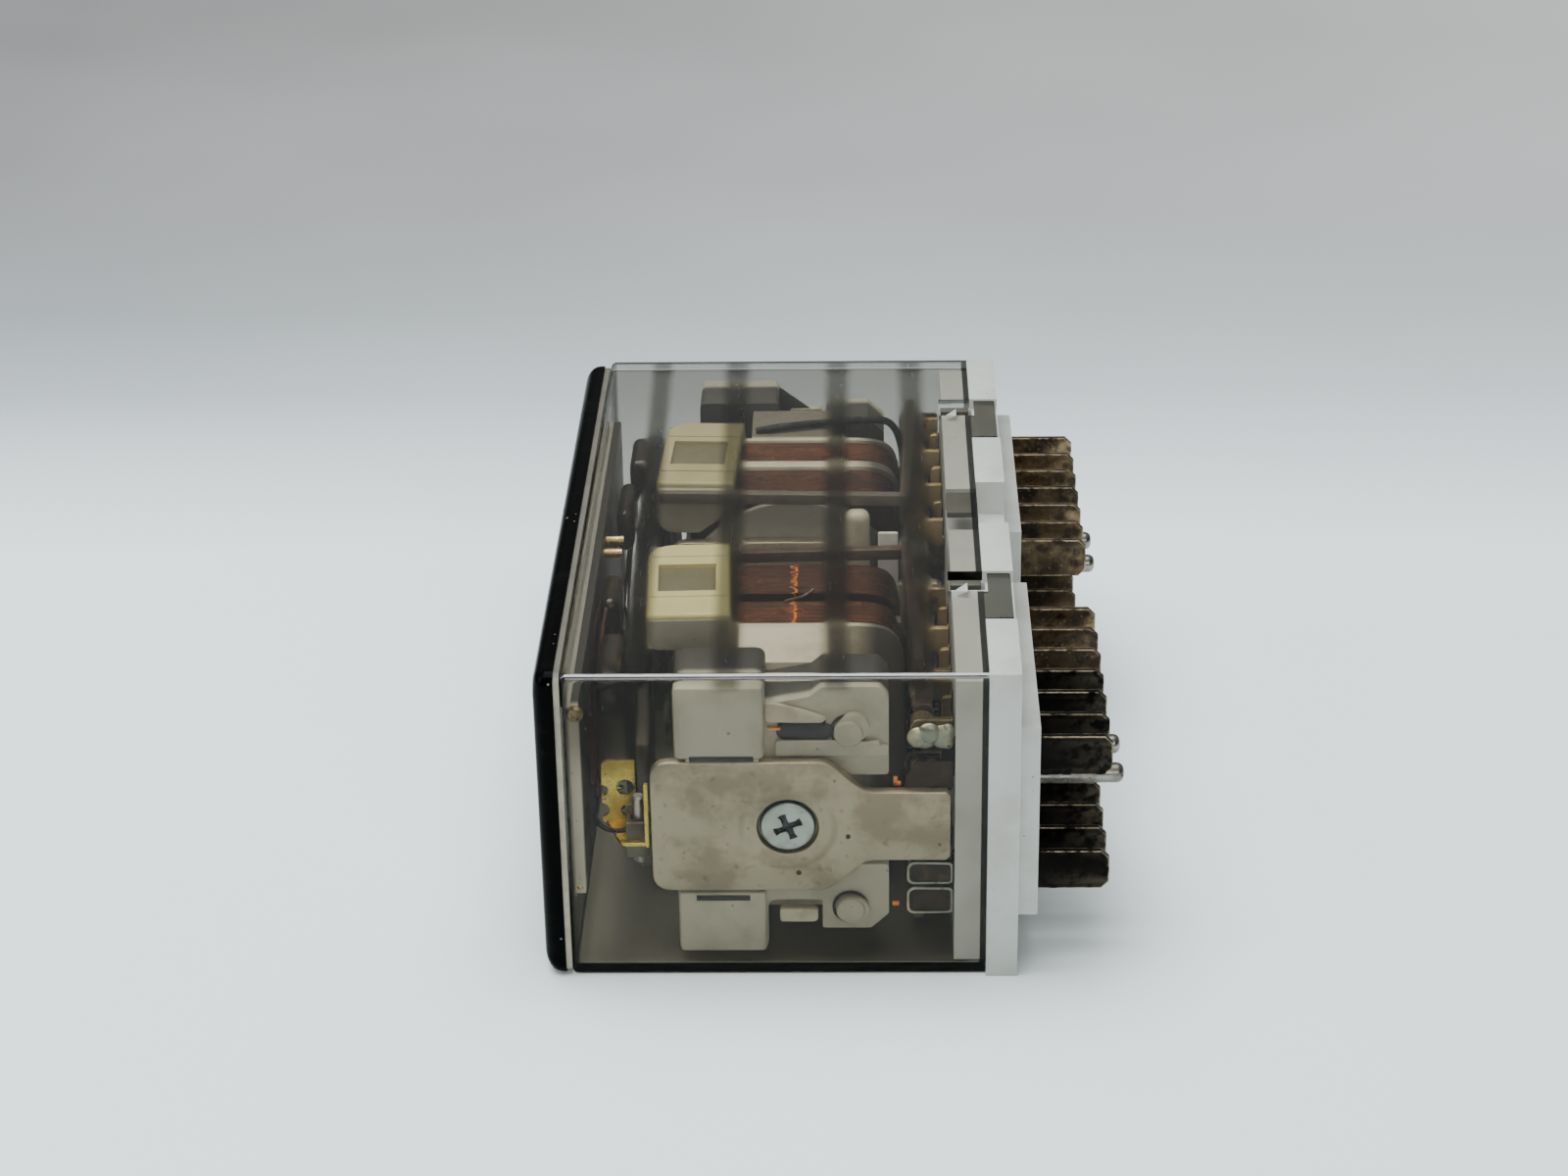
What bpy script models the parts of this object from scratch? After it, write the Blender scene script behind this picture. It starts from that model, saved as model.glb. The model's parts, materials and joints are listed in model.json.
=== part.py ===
"""Plug-in control relay with two magnet units in one clear case.

X runs from the black front rim to the blade tips, Y along the case, Z up.
The relay lies on one long side, as it is laid on a bench. Sizes are in millimetres
and become metres when a mesh or a place is made. The origin is the middle of the
resting side. Unit A is the nearer one, at low Y. Unit B is the same unit turned
half a turn about the X direction, so both yokes with a screw face outwards.
"""
import math

import bmesh
import bpy
from mathutils import Matrix, Vector

MM = 0.001

# Clearances
FIT_GAP = 0.3            # between pieces that touch
PIN_GAP = 0.3            # round a pin or a screw
SIDE_GAP = 0.5           # case wall to the outer yoke
FLOOR_GAP = 0.4          # case wall to the moving pieces
COIL_GAP = 0.4           # coil to the arms and caps that pass over it

# Case
UNIT_LENGTH = 40.0
UNIT_SPACE = 12.0
CASE_HEIGHT = 40.0
CASE_LENGTH = 2 * UNIT_LENGTH + UNIT_SPACE
WALL = 1.2
CASE_ROUNDING = 0.8
RIM_DEPTH = 2.8
RIM_BORDER = 5.7
RIM_CORNER = 2.6
WINDOW_RISE = 2.0

# Front to back
PLATE_THICKNESS = 1.5
FRONT_SPACE = 7.2        # name plate to the front edge of the yokes
YOKE_REACH = 15.8        # front edge of the yokes to the coil axis
COIL_TO_BASE = 19.3      # coil axis to the inner tier of the base
TIER_DEPTH = 3.7
REAR_GAP = 0.8           # cover's rear edge to the flange
FLANGE_DEPTH = 3.7
BLOCK_DEPTH = 2.3
BLADE_REACH = 8.4        # blade beyond the block
PLATE_FRONT = RIM_DEPTH + WALL + FIT_GAP
YOKE_EDGE = PLATE_FRONT + PLATE_THICKNESS + FRONT_SPACE
AXIS_X = YOKE_EDGE + YOKE_REACH
TIER_FRONT = AXIS_X + COIL_TO_BASE
FLANGE_FRONT = TIER_FRONT + TIER_DEPTH
FLANGE_REAR = FLANGE_FRONT + FLANGE_DEPTH
BLOCK_REAR = FLANGE_REAR + BLOCK_DEPTH
BLADE_TIP = BLOCK_REAR + BLADE_REACH
COVER_REAR = FLANGE_FRONT - REAR_GAP

# Base
BLOCK_INSET = 1.3        # block's end, from the end of its unit
BLOCK_MARGIN = 7.6       # block's upper and lower edge, from the case's
TAB_START = 14.2         # cover tab, from the start of its base unit
TAB_LENGTH = 12.0
TAB_REACH = 4.2
TAB_RECESS = 1.5
HOOK_START = 21.4
HOOK_LENGTH = 3.0
HOOK_POCKET = 2.0
HOOK_RISE = 1.0
NOTCH_DEPTH = 4.5

# Blades, the quick-connect kind, 5 by 0.8
BLADE_COUNT = 7
BLADE_PITCH = 5.4
BLADE_WIDTH = 5.0
BLADE_THICKNESS = 0.8
BLADE_EDGE = 9.9         # outer edge of a row, from the case's upper or lower side
BLADE_CHAMFER = 0.9
TONGUE_LENGTH = 5.1      # the blade's inner end, in front of the base
TONGUE_RISE = 2.4        # inner end beyond the blade's outer edge
TONGUE_WIDTH = 3.6
TONGUE_SLOT = 1.6
STUB_LENGTH = 1.2        # inner end of a common or coil blade
STUD_RADIUS = 1.3
KEY_SPACING = 7.0
KEY_RADIUS = 1.2
KEY_REACH = 10.6         # key pins beyond the block
KEY_CENTRES = {"a": 16.5, "b": 73.0}

# Magnet, the same in both units
AXIS_DROP = 0.6          # magnet axis below the middle of the case
AXIS_Z = CASE_HEIGHT / 2 - AXIS_DROP
YOKE_THICKNESS = 1.4
YOKE_HALF = 8.5
TONGUE_HALF = 4.5
YOKE_BODY = 19.6         # front edge to the shoulder
YOKE_SHOULDER = 6.0      # length of the shoulder's curve
YOKE_END_GAP = 0.5
INNER_YOKE_HALF = 10.4
INNER_YOKE_INSET = 0.2
YOKE_FRONT = WALL + SIDE_GAP
YOKE_BACK = YOKE_FRONT + YOKE_THICKNESS
INNER_YOKE_BACK = UNIT_LENGTH - INNER_YOKE_INSET
INNER_YOKE_FRONT = INNER_YOKE_BACK - YOKE_THICKNESS
CORE_RADIUS = 5.0
SCREW_HEAD = 3.25
SCREW_HEAD_HEIGHT = 0.8
SCREW_SHANK = 1.5
SCREW_LENGTH = 10.0
SINK_RADIUS = 3.6
SINK_DEPTH = 1.1

# Coil
COIL_HALF_X = 13.7
COIL_HALF_Z = AXIS_Z - WALL - FLOOR_GAP - 1.2 - COIL_GAP
COIL_ROUNDNESS = 8.0     # exponent of the rounded outline
COIL_FRONT = 19.9        # outer flange, from the case's side
END_FLANGE = 0.8
MIDDLE_FLANGE = 1.8
OUTER_WINDING = 6.2
TUBE_WALL = 1.2
WINDING_INSET = 0.3
WINDING_GAP = 0.2
INNER_DISC = 15.2
COLLAR_FRONT_X = -5.8
COLLAR_REAR_X = 4.8
CROSSING_HALF = 1.5      # wire that crosses from one winding to the other

# Contact frames beside the outer yoke
FRAME_DEPTH = 7.0
FRAME_FRONT = YOKE_BACK + FIT_GAP
FRAME_BACK = FRAME_FRONT + FRAME_DEPTH
FRAME_START = 2.8        # behind the yokes' front edge
FRAME_BLOCK = 10.5
FRAME_LENGTH = 24.7
FRAME_TOP_GAP = 1.1
BLOCK_FACE = WALL + 0.5
BOSS_RADIUS = 1.75

# Armature and what it moves
RELEASE_ANGLE = math.radians(2.2)
PIVOT_X = YOKE_EDGE - 1.6
PIVOT_Y = 4.6
PIN_RADIUS = 0.75
PIN_HALF = 6.3
ARMATURE_THICKNESS = 1.4
ARMATURE_HALF = 8.2
KNUCKLE_HALF = 1.5
SHEET = 0.5
BRACKET_HALF = 5.7
BRACKET_WIDTH = 5.4
CAP_LENGTH = 10.8
CAP_HEIGHT = 4.4
CAP_FRONT = 18.0
CAP_SKIRT = 1.0
CAP_LIP = 2.8
WINDOW_DEPTH = 0.5
WEB_THICKNESS = 1.7
WEB_START = 24.0
WEB_END = 33.0
ARM_HEIGHT = 1.4
ARM_WIDTH = 1.3
CROSSBAR = 1.2
CROSSBAR_HEIGHT = 3.2
FINGER_WIDTH = 2.2
FINGER_THICKNESS = 0.5
RIVET_RADIUS = 1.2
RIVET_HALF = 1.5

ROUND_STEPS = 20


def new_collection(name):
    """Make a collection in the scene."""
    collection = bpy.data.collections.new(name)
    bpy.context.scene.collection.children.link(collection)
    return collection


def clear_scene():
    """Remove everything that the scene starts with."""
    for item in list(bpy.data.objects):
        bpy.data.objects.remove(item, do_unlink=True)
    for collection in list(bpy.data.collections):
        bpy.data.collections.remove(collection)


clear_scene()
PARTS = new_collection("control_relay")
CUTTERS = new_collection("cutters")


def finish(name, colour, roughness, metallic=0.0, alpha=1.0):
    """Make a Principled material."""
    material = bpy.data.materials.new(name)
    material.use_nodes = True
    shader = material.node_tree.nodes["Principled BSDF"]
    shader.inputs["Base Color"].default_value = (*colour, 1.0)
    shader.inputs["Roughness"].default_value = roughness
    shader.inputs["Metallic"].default_value = metallic
    shader.inputs["Alpha"].default_value = alpha
    return material


BLACK_PLASTIC = finish("black_plastic", (0.01, 0.01, 0.012), 0.3)
SMOKY_CLEAR = finish("smoky_clear", (0.42, 0.41, 0.38), 0.08, alpha=0.35)
WHITE_PLASTIC = finish("white_plastic", (0.78, 0.76, 0.72), 0.45)
CREAM_PLASTIC = finish("cream_plastic", (0.75, 0.70, 0.50), 0.45)
GREY_PLASTIC = finish("grey_plastic", (0.45, 0.42, 0.37), 0.5)
BROWN_PLASTIC = finish("brown_plastic", (0.07, 0.04, 0.03), 0.45)
NICKEL = finish("satin_nickel", (0.55, 0.51, 0.45), 0.4, 1.0)
ZINC = finish("blue_zinc", (0.62, 0.68, 0.70), 0.25, 1.0)
STEEL = finish("pin_steel", (0.5, 0.5, 0.5), 0.3, 1.0)
BRASS = finish("brass_sheet", (0.70, 0.48, 0.12), 0.3, 1.0)
TARNISHED = finish("tarnished_bronze", (0.22, 0.14, 0.07), 0.45, 1.0)
COPPER = finish("enamelled_copper", (0.30, 0.10, 0.03), 0.35, 0.4)


def register(name, mesh, material, parent, cutter=False):
    """Put a mesh in the scene as a part, or as a cutter that isn't built."""
    item = bpy.data.objects.new(name, mesh)
    item.parent = parent
    if cutter:
        CUTTERS.objects.link(item)
        item.hide_render = True
        item.display_type = "WIRE"
    else:
        PARTS.objects.link(item)
        mesh.materials.clear()
        mesh.materials.append(material)
    return item


def boxes_mesh(name, boxes):
    """Mesh of separate boxes, each given as its X, Y and Z spans."""
    build = bmesh.new()
    for spans in boxes:
        sizes = [(high - low) * MM for low, high in spans]
        middle = [(high + low) / 2 * MM for low, high in spans]
        matrix = Matrix.Translation(middle) @ Matrix.Diagonal((*sizes, 1.0))
        bmesh.ops.create_cube(build, size=1.0, matrix=matrix)
    mesh = bpy.data.meshes.new(name)
    build.to_mesh(mesh)
    build.free()
    return mesh


def box(name, x_span, y_span, z_span, material=None, parent=None, cutter=False, rounding=0.0):
    """One box, with its origin in its middle."""
    centre = [sum(span) / 2 for span in (x_span, y_span, z_span)]
    local = [(low - mid, high - mid) for (low, high), mid in zip((x_span, y_span, z_span), centre)]
    item = register(name, boxes_mesh(name, [local]), material, parent, cutter)
    item.location = [value * MM for value in centre]
    if rounding:
        round_edges(item, rounding)
    return item


def boxes(name, spans, parent=None):
    """Several boxes in one cutter."""
    return register(name, boxes_mesh(name, spans), None, parent, cutter=True)


def round_edges(item, width, steps=2, angle=40.0):
    """Round the sharp edges with a Bevel modifier."""
    bevel = item.modifiers.new("edges", "BEVEL")
    bevel.width = width * MM
    bevel.segments = steps
    bevel.limit_method = "ANGLE"
    bevel.angle_limit = math.radians(angle)
    return bevel


def boolean(item, other, operation):
    """Join or cut one object with another."""
    modifier = item.modifiers.new(other.name, "BOOLEAN")
    modifier.operation = operation
    modifier.object = other


def cut(item, cutter):
    """Cut an object."""
    boolean(item, cutter, "DIFFERENCE")


def fuse(item, guide):
    """Join a guide to an object."""
    boolean(item, guide, "UNION")


def rod(name, radius, start, end, axis, centre, material=None, parent=None, cutter=False, tip=0.0,
        sides=ROUND_STEPS):
    """A round rod along X, Y or Z. centre holds its other two coordinates."""
    build = bmesh.new()
    length = (end - start) * MM
    bmesh.ops.create_cone(build, cap_ends=True, segments=sides, radius1=radius * MM, radius2=radius * MM,
                          depth=length)
    if tip:
        ring = [edge for edge in build.edges if all(v.co.z > length * 0.4 for v in edge.verts)]
        bmesh.ops.bevel(build, geom=ring, offset=tip * MM, segments=3, profile=0.5, affect="EDGES")
    turns = {"X": Matrix.Rotation(math.pi / 2, 4, "Y"), "Y": Matrix.Rotation(-math.pi / 2, 4, "X"),
             "Z": Matrix.Identity(4)}
    bmesh.ops.transform(build, matrix=turns[axis], verts=build.verts)
    mesh = bpy.data.meshes.new(name)
    build.to_mesh(mesh)
    build.free()
    mesh.shade_smooth()
    mesh.set_sharp_from_angle(angle=math.radians(30))
    item = register(name, mesh, material, parent, cutter)
    place = list(centre)
    place.insert("XYZ".index(axis), (start + end) / 2)
    item.location = [value * MM for value in place]
    return item


def rounded(corners, steps=4):
    """Outline from corners given as across, up and radius, with arcs at the corners."""
    points = []
    count = len(corners)
    for index, (across, up, radius) in enumerate(corners):
        here = Vector((across, up))
        before = Vector(corners[index - 1][:2]) - here
        after = Vector(corners[(index + 1) % count][:2]) - here
        if radius <= 0.0:
            points.append(here)
            continue
        half = before.angle(after) / 2
        reach = min(radius / math.tan(half), before.length * 0.49, after.length * 0.49)
        real_radius = reach * math.tan(half)
        inward = (before.normalized() + after.normalized()).normalized()
        centre = here + inward * (real_radius / math.sin(half))
        start = here + before.normalized() * reach - centre
        end = here + after.normalized() * reach - centre
        turn = start.angle_signed(end)
        for step in range(steps + 1):
            points.append(centre + Matrix.Rotation(-turn * step / steps, 2) @ start)
    return [(point[0], point[1]) for point in points]


def circle(across, up, radius, steps=ROUND_STEPS):
    """Round outline."""
    turns = [2 * math.pi * step / steps for step in range(steps)]
    return [(across + radius * math.cos(turn), up + radius * math.sin(turn)) for turn in turns]


def coil_outline(half_x, half_z, top=None, steps=48):
    """Rounded box outline of a flange or winding, optionally cut off at the top."""
    points = []
    for step in range(steps):
        turn = 2 * math.pi * step / steps
        power = 2 / COIL_ROUNDNESS
        across = math.copysign(abs(math.cos(turn)) ** power, math.cos(turn)) * half_x
        up = math.copysign(abs(math.sin(turn)) ** power, math.sin(turn)) * half_z
        if top is not None:
            up = min(up, top)
        points.append((AXIS_X + across, AXIS_Z + up))
    return points


def plate(name, outlines, start, end, material=None, parent=None, cutter=False, axis="Y"):
    """A flat outline in the XZ plane, given thickness along Y, or in the YZ plane along X."""
    curve = bpy.data.curves.new(name, "CURVE")
    curve.dimensions = "2D"
    curve.fill_mode = "BOTH"
    curve.extrude = (end - start) / 2 * MM
    for outline in outlines:
        spline = curve.splines.new("POLY")
        spline.points.add(len(outline) - 1)
        for point, (across, up) in zip(spline.points, outline):
            point.co = (across * MM, up * MM, 0.0, 1.0)
        spline.use_cyclic_u = True
    flat = bpy.data.objects.new(name + "_outline", curve)
    CUTTERS.objects.link(flat)
    graph = bpy.context.evaluated_depsgraph_get()
    mesh = bpy.data.meshes.new_from_object(flat.evaluated_get(graph))
    bpy.data.objects.remove(flat, do_unlink=True)
    bpy.data.curves.remove(curve)
    build = bmesh.new()
    build.from_mesh(mesh)
    bmesh.ops.remove_doubles(build, verts=build.verts, dist=0.00001)
    build.to_mesh(mesh)
    build.free()
    mesh.name = name
    item = register(name, mesh, material, parent, cutter)
    if axis == "Y":
        item.rotation_euler = (math.pi / 2, 0.0, 0.0)
        item.location = (0.0, (start + end) / 2 * MM, 0.0)
    else:
        item.rotation_euler = (math.pi / 2, 0.0, math.pi / 2)
        item.location = ((start + end) / 2 * MM, 0.0, 0.0)
    return item


def empty(name, place, turn=(0.0, 0.0, 0.0), parent=None):
    """A frame that pieces are placed in."""
    item = bpy.data.objects.new(name, None)
    item.location = [value * MM for value in place]
    item.rotation_euler = turn
    item.parent = parent
    PARTS.objects.link(item)
    return item


def rim_outline(inset, corner):
    """Rounded outline of the front, in Y and Z."""
    low, far, high = inset, CASE_LENGTH - inset, CASE_HEIGHT - inset
    return rounded([(low, low, corner), (far, low, corner), (far, high, corner), (low, high, corner)])


def base_starts():
    """Where each base unit starts along Y."""
    return [0.0, UNIT_LENGTH + UNIT_SPACE]


def both_sides(z_span):
    """A Z span at the upper side, and the same at the lower side."""
    low, high = z_span
    return [(low, high), (CASE_HEIGHT - high, CASE_HEIGHT - low)]


# ---------------------------------------------------------------- case and base

def make_front_bezel(parent):
    """Black ring that holds the front of the cover."""
    window = rim_outline(RIM_BORDER, CASE_ROUNDING)
    bezel = plate("front_bezel", [rim_outline(0.0, RIM_CORNER), window], 0.0, RIM_DEPTH - FIT_GAP,
                  BLACK_PLASTIC, parent, axis="X")
    round_edges(bezel, 0.5, steps=2, angle=60.0)


def make_cover(parent):
    """Clear box, open at the back, with a raised window that fills the ring."""
    build = bmesh.new()
    size = Vector(((COVER_REAR - RIM_DEPTH) * MM, CASE_LENGTH * MM, CASE_HEIGHT * MM))
    middle = Vector(((COVER_REAR + RIM_DEPTH) / 2 * MM, CASE_LENGTH / 2 * MM, CASE_HEIGHT / 2 * MM))
    bmesh.ops.create_cube(build, size=1.0, matrix=Matrix.Diagonal((*size, 1.0)))
    front = [face for face in build.faces if face.normal.x < -0.9]
    rear = [face for face in build.faces if face.normal.x > 0.9]
    bmesh.ops.delete(build, geom=rear, context="FACES_ONLY")
    bmesh.ops.inset_region(build, faces=front, thickness=(RIM_BORDER + FIT_GAP) * MM, use_even_offset=True)
    raised = bmesh.ops.extrude_discrete_faces(build, faces=front)["faces"][0]
    bmesh.ops.translate(build, vec=(-WINDOW_RISE * MM, 0.0, 0.0), verts=raised.verts)
    bmesh.ops.recalc_face_normals(build, faces=build.faces)
    mesh = bpy.data.meshes.new("cover")
    build.to_mesh(mesh)
    build.free()
    cover = register("cover", mesh, SMOKY_CLEAR, parent)
    cover.location = middle
    round_edges(cover, CASE_ROUNDING, steps=2)
    shell = cover.modifiers.new("wall", "SOLIDIFY")
    shell.thickness = WALL * MM
    shell.offset = -1.0
    tabs = []
    slots = []
    for start in base_starts():
        for z_span in both_sides((CASE_HEIGHT - WALL, CASE_HEIGHT - 0.05)):
            tabs.append(((COVER_REAR - 0.4, COVER_REAR + TAB_REACH),
                         (start + TAB_START, start + TAB_START + TAB_LENGTH), z_span))
        for z_span in both_sides((CASE_HEIGHT - 2 * WALL, CASE_HEIGHT + WALL)):
            slots.append(((TIER_FRONT + 0.3, COVER_REAR - 0.7),
                          (start + HOOK_START - FIT_GAP, start + HOOK_START + HOOK_LENGTH + HOOK_POCKET),
                          z_span))
    fuse(cover, boxes("cover_tabs", tabs, parent))
    cut(cover, boxes("cover_slots", slots, parent))


def blade_spans(start):
    """Y spans of the blades of one base unit."""
    run = BLADE_PITCH * (BLADE_COUNT - 1) + BLADE_THICKNESS
    first = start + (UNIT_LENGTH - run) / 2
    lows = [first + BLADE_PITCH * index for index in range(BLADE_COUNT)]
    return [(low, low + BLADE_THICKNESS) for low in lows]


def make_base(parent):
    """White base: flange, inner tier, a raised block for each unit, hooks and slots."""
    base = box("base", (FLANGE_FRONT, FLANGE_REAR), (0.0, CASE_LENGTH), (0.0, CASE_HEIGHT),
               WHITE_PLASTIC, parent)
    inside = WALL + FIT_GAP
    solids = [((TIER_FRONT, FLANGE_FRONT + 1.0), (inside, CASE_LENGTH - inside),
               (inside, CASE_HEIGHT - inside))]
    slots = []
    hooks = []
    for start in base_starts():
        solids.append(((FLANGE_REAR - 1.0, BLOCK_REAR),
                       (start + BLOCK_INSET, start + UNIT_LENGTH - BLOCK_INSET),
                       (BLOCK_MARGIN, CASE_HEIGHT - BLOCK_MARGIN)))
        for low, high in blade_spans(start):
            for z_span in both_sides((CASE_HEIGHT - BLADE_EDGE - BLADE_WIDTH - FIT_GAP,
                                      CASE_HEIGHT - BLADE_EDGE + FIT_GAP)):
                slots.append(((TIER_FRONT - 1.0, BLOCK_REAR + 1.0), (low - FIT_GAP, high + FIT_GAP), z_span))
        tab = (start + TAB_START - FIT_GAP, start + TAB_START + TAB_LENGTH + FIT_GAP)
        pocket = (start + HOOK_START + HOOK_LENGTH, start + HOOK_START + HOOK_LENGTH + HOOK_POCKET)
        for z_span in both_sides((CASE_HEIGHT - TAB_RECESS, CASE_HEIGHT + 1.0)):
            slots.append(((FLANGE_FRONT - 0.5, FLANGE_REAR + 0.5), tab, z_span))
        for z_span in both_sides((CASE_HEIGHT - inside - 3.0, CASE_HEIGHT - TAB_RECESS)):
            slots.append(((TIER_FRONT - 1.0, FLANGE_FRONT - 0.5), pocket, z_span))
        for side in (0, 1):
            hooks.append((start, side))
    middle = (UNIT_LENGTH, UNIT_LENGTH + UNIT_SPACE)
    for z_span in both_sides((CASE_HEIGHT - NOTCH_DEPTH, CASE_HEIGHT + 1.0)):
        slots.append(((TIER_FRONT - 1.0, FLANGE_REAR + 1.0), middle, z_span))
    for centre in KEY_CENTRES.values():
        slots.append(((TIER_FRONT - 1.0, FLANGE_FRONT), (centre - KEY_SPACING / 2 - KEY_RADIUS - PIN_GAP,
                      centre + KEY_SPACING / 2 + KEY_RADIUS + PIN_GAP),
                      (CASE_HEIGHT / 2 - KEY_RADIUS - PIN_GAP, CASE_HEIGHT / 2 + KEY_RADIUS + PIN_GAP)))
    fuse(base, boxes("base_steps", solids, parent))
    for index, (start, side) in enumerate(hooks):
        fuse(base, hook(f"hook_{index}", start, side, parent))
    cut(base, boxes("base_slots", slots, parent))
    for name, centre in KEY_CENTRES.items():
        for sign in (-1, 1):
            bore = rod(f"key_bore_{name}_{sign}", KEY_RADIUS + PIN_GAP, FLANGE_FRONT - 0.5, BLOCK_REAR + 1.0,
                       "X", (centre + sign * KEY_SPACING / 2, CASE_HEIGHT / 2), None, parent, cutter=True)
            cut(base, bore)


def hook(name, start, side, parent):
    """Wedge that snaps into the cover's slot, at the upper or lower side."""
    seat = CASE_HEIGHT - WALL - FIT_GAP
    front, rear = TIER_FRONT + 0.6, COVER_REAR - 1.0
    profile = [(front, seat - 0.6), (rear, seat - 0.6), (rear, seat + HOOK_RISE), (front, seat + 0.1)]
    if side:
        profile = [(across, CASE_HEIGHT - up) for across, up in profile]
    return plate(name, [profile], start + HOOK_START, start + HOOK_START + HOOK_LENGTH, None, parent,
                 cutter=True)


def make_name_plate(parent):
    """Blank plate behind the front window."""
    inside = WALL + FIT_GAP
    box("name_plate", (PLATE_FRONT, PLATE_FRONT + PLATE_THICKNESS), (inside + 0.7, CASE_LENGTH - 10.0),
        (CASE_HEIGHT * 0.5 - 10.4, CASE_HEIGHT - RIM_BORDER + 0.7), CREAM_PLASTIC, parent, rounding=0.2)


def make_key_pins(parent, unit):
    """Two key pins on one bridge, so that the relay goes in its socket one way only."""
    centre = KEY_CENTRES[unit]
    half = KEY_SPACING / 2
    middle = CASE_HEIGHT / 2
    root = TIER_FRONT + 0.5
    bridge = box(f"key_pins_{unit}", (root, root + 1.8), (centre - half, centre + half),
                 (middle - KEY_RADIUS * 0.8, middle + KEY_RADIUS * 0.8), STEEL, parent)
    for sign in (-1, 1):
        pin = rod(f"key_pin_{unit}_{sign}", KEY_RADIUS, root + 0.2, BLOCK_REAR + KEY_REACH, "X",
                  (centre + sign * half, middle), None, parent, cutter=True, tip=0.7, sides=16)
        fuse(bridge, pin)


# ---------------------------------------------------------------- blades

ROLES = ["closing", "common", "opening", "coil", "closing", "common", "opening"]


def blade_outline(full):
    """Blade with its inner end: two tongues where it carries a contact, else a short stub."""
    inner = TIER_FRONT - FIT_GAP
    high = CASE_HEIGHT - BLADE_EDGE
    low = high - BLADE_WIDTH
    top = high + TONGUE_RISE
    front = inner - (TONGUE_LENGTH - FIT_GAP if full else STUB_LENGTH)
    bottom = top - 2 * TONGUE_WIDTH - TONGUE_SLOT
    tip = BLADE_TIP - BLADE_CHAMFER
    corners = [(front, top, 0.8), (inner, top, 0.0), (inner, high, 0.0), (tip, high, 0.0),
               (BLADE_TIP, high - BLADE_CHAMFER, 0.0), (BLADE_TIP, low + BLADE_CHAMFER, 0.0),
               (tip, low, 0.0), (inner, low, 0.0), (inner, bottom, 0.0), (front, bottom, 0.8)]
    if full:
        slot_low = bottom + TONGUE_WIDTH
        slot_high = slot_low + TONGUE_SLOT
        slot_end = inner - 1.4
        corners += [(front, slot_low, 0.8), (slot_end, slot_low, 0.0), (slot_end, slot_high, 0.0),
                    (front, slot_high, 0.8)]
    return rounded(corners, steps=2)


def contact_place():
    """X and Z of the contacts in the closed position, in an upper row."""
    top = CASE_HEIGHT - BLADE_EDGE + TONGUE_RISE
    across = TIER_FRONT - TONGUE_LENGTH + FINGER_WIDTH / 2 + 0.6
    return across, top - TONGUE_WIDTH / 2


def contact_travel():
    """How far a moving contact travels along Y."""
    return (contact_place()[0] - PIVOT_X) * math.sin(RELEASE_ANGLE)


def make_blades(parent, unit):
    """Both rows of one unit, in the unit's own frame."""
    contact_x, contact_z = contact_place()
    reach = BLADE_PITCH - BLADE_THICKNESS / 2 - contact_travel() / 2 - RIVET_HALF - FIT_GAP
    for row in ("upper", "lower"):
        for index, (low, high) in enumerate(blade_spans(0.0)):
            role = ROLES[index]
            name = blade_name(unit, row, index)
            full = role in ("closing", "opening")
            outline = blade_outline(full)
            if row == "lower":
                outline = [(across, CASE_HEIGHT - up) for across, up in outline]
            blade = plate(name, [outline], low, high, TARNISHED, parent)
            if full:
                up = contact_z if row == "upper" else CASE_HEIGHT - contact_z
                start, end = (high - 0.2, high + reach) if role == "closing" else (low - reach, low + 0.2)
                stud = rod(name + "_stud", STUD_RADIUS, start, end, "Y", (contact_x - 0.3, up), None, parent,
                           cutter=True, sides=12)
                fuse(blade, stud)


def blade_name(unit, row, index):
    """Name by the place in the whole relay: unit B is turned, so its rows and order swap."""
    number = index + 1
    if unit == "b":
        row = "lower" if row == "upper" else "upper"
        number = BLADE_COUNT - index
    return f"blade_{unit}_{row}_{number}_{ROLES[index]}"


# ---------------------------------------------------------------- magnet

def yoke_outline(half):
    """Yoke plate: a wide body, an S-shaped shoulder on each side and a tongue to the base."""
    end = TIER_FRONT - YOKE_END_GAP
    shoulder = YOKE_EDGE + YOKE_BODY
    steps = 7
    curve = []
    for step in range(steps + 1):
        part = step / steps
        ease = part * part * (3 - 2 * part)
        curve.append((shoulder + YOKE_SHOULDER * part, half + (TONGUE_HALF - half) * ease))
    corner = rounded([(YOKE_EDGE, half, 2.0), (shoulder, half, 0.0), (shoulder, 0.0, 0.0),
                      (YOKE_EDGE, 0.0, 0.0)])
    upper = corner[:5] + curve + [(end - 0.5, TONGUE_HALF), (end, TONGUE_HALF - 0.5)]
    lower = [(across, -up) for across, up in reversed(upper)]
    return [(across, AXIS_Z + up) for across, up in upper + lower]


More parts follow.
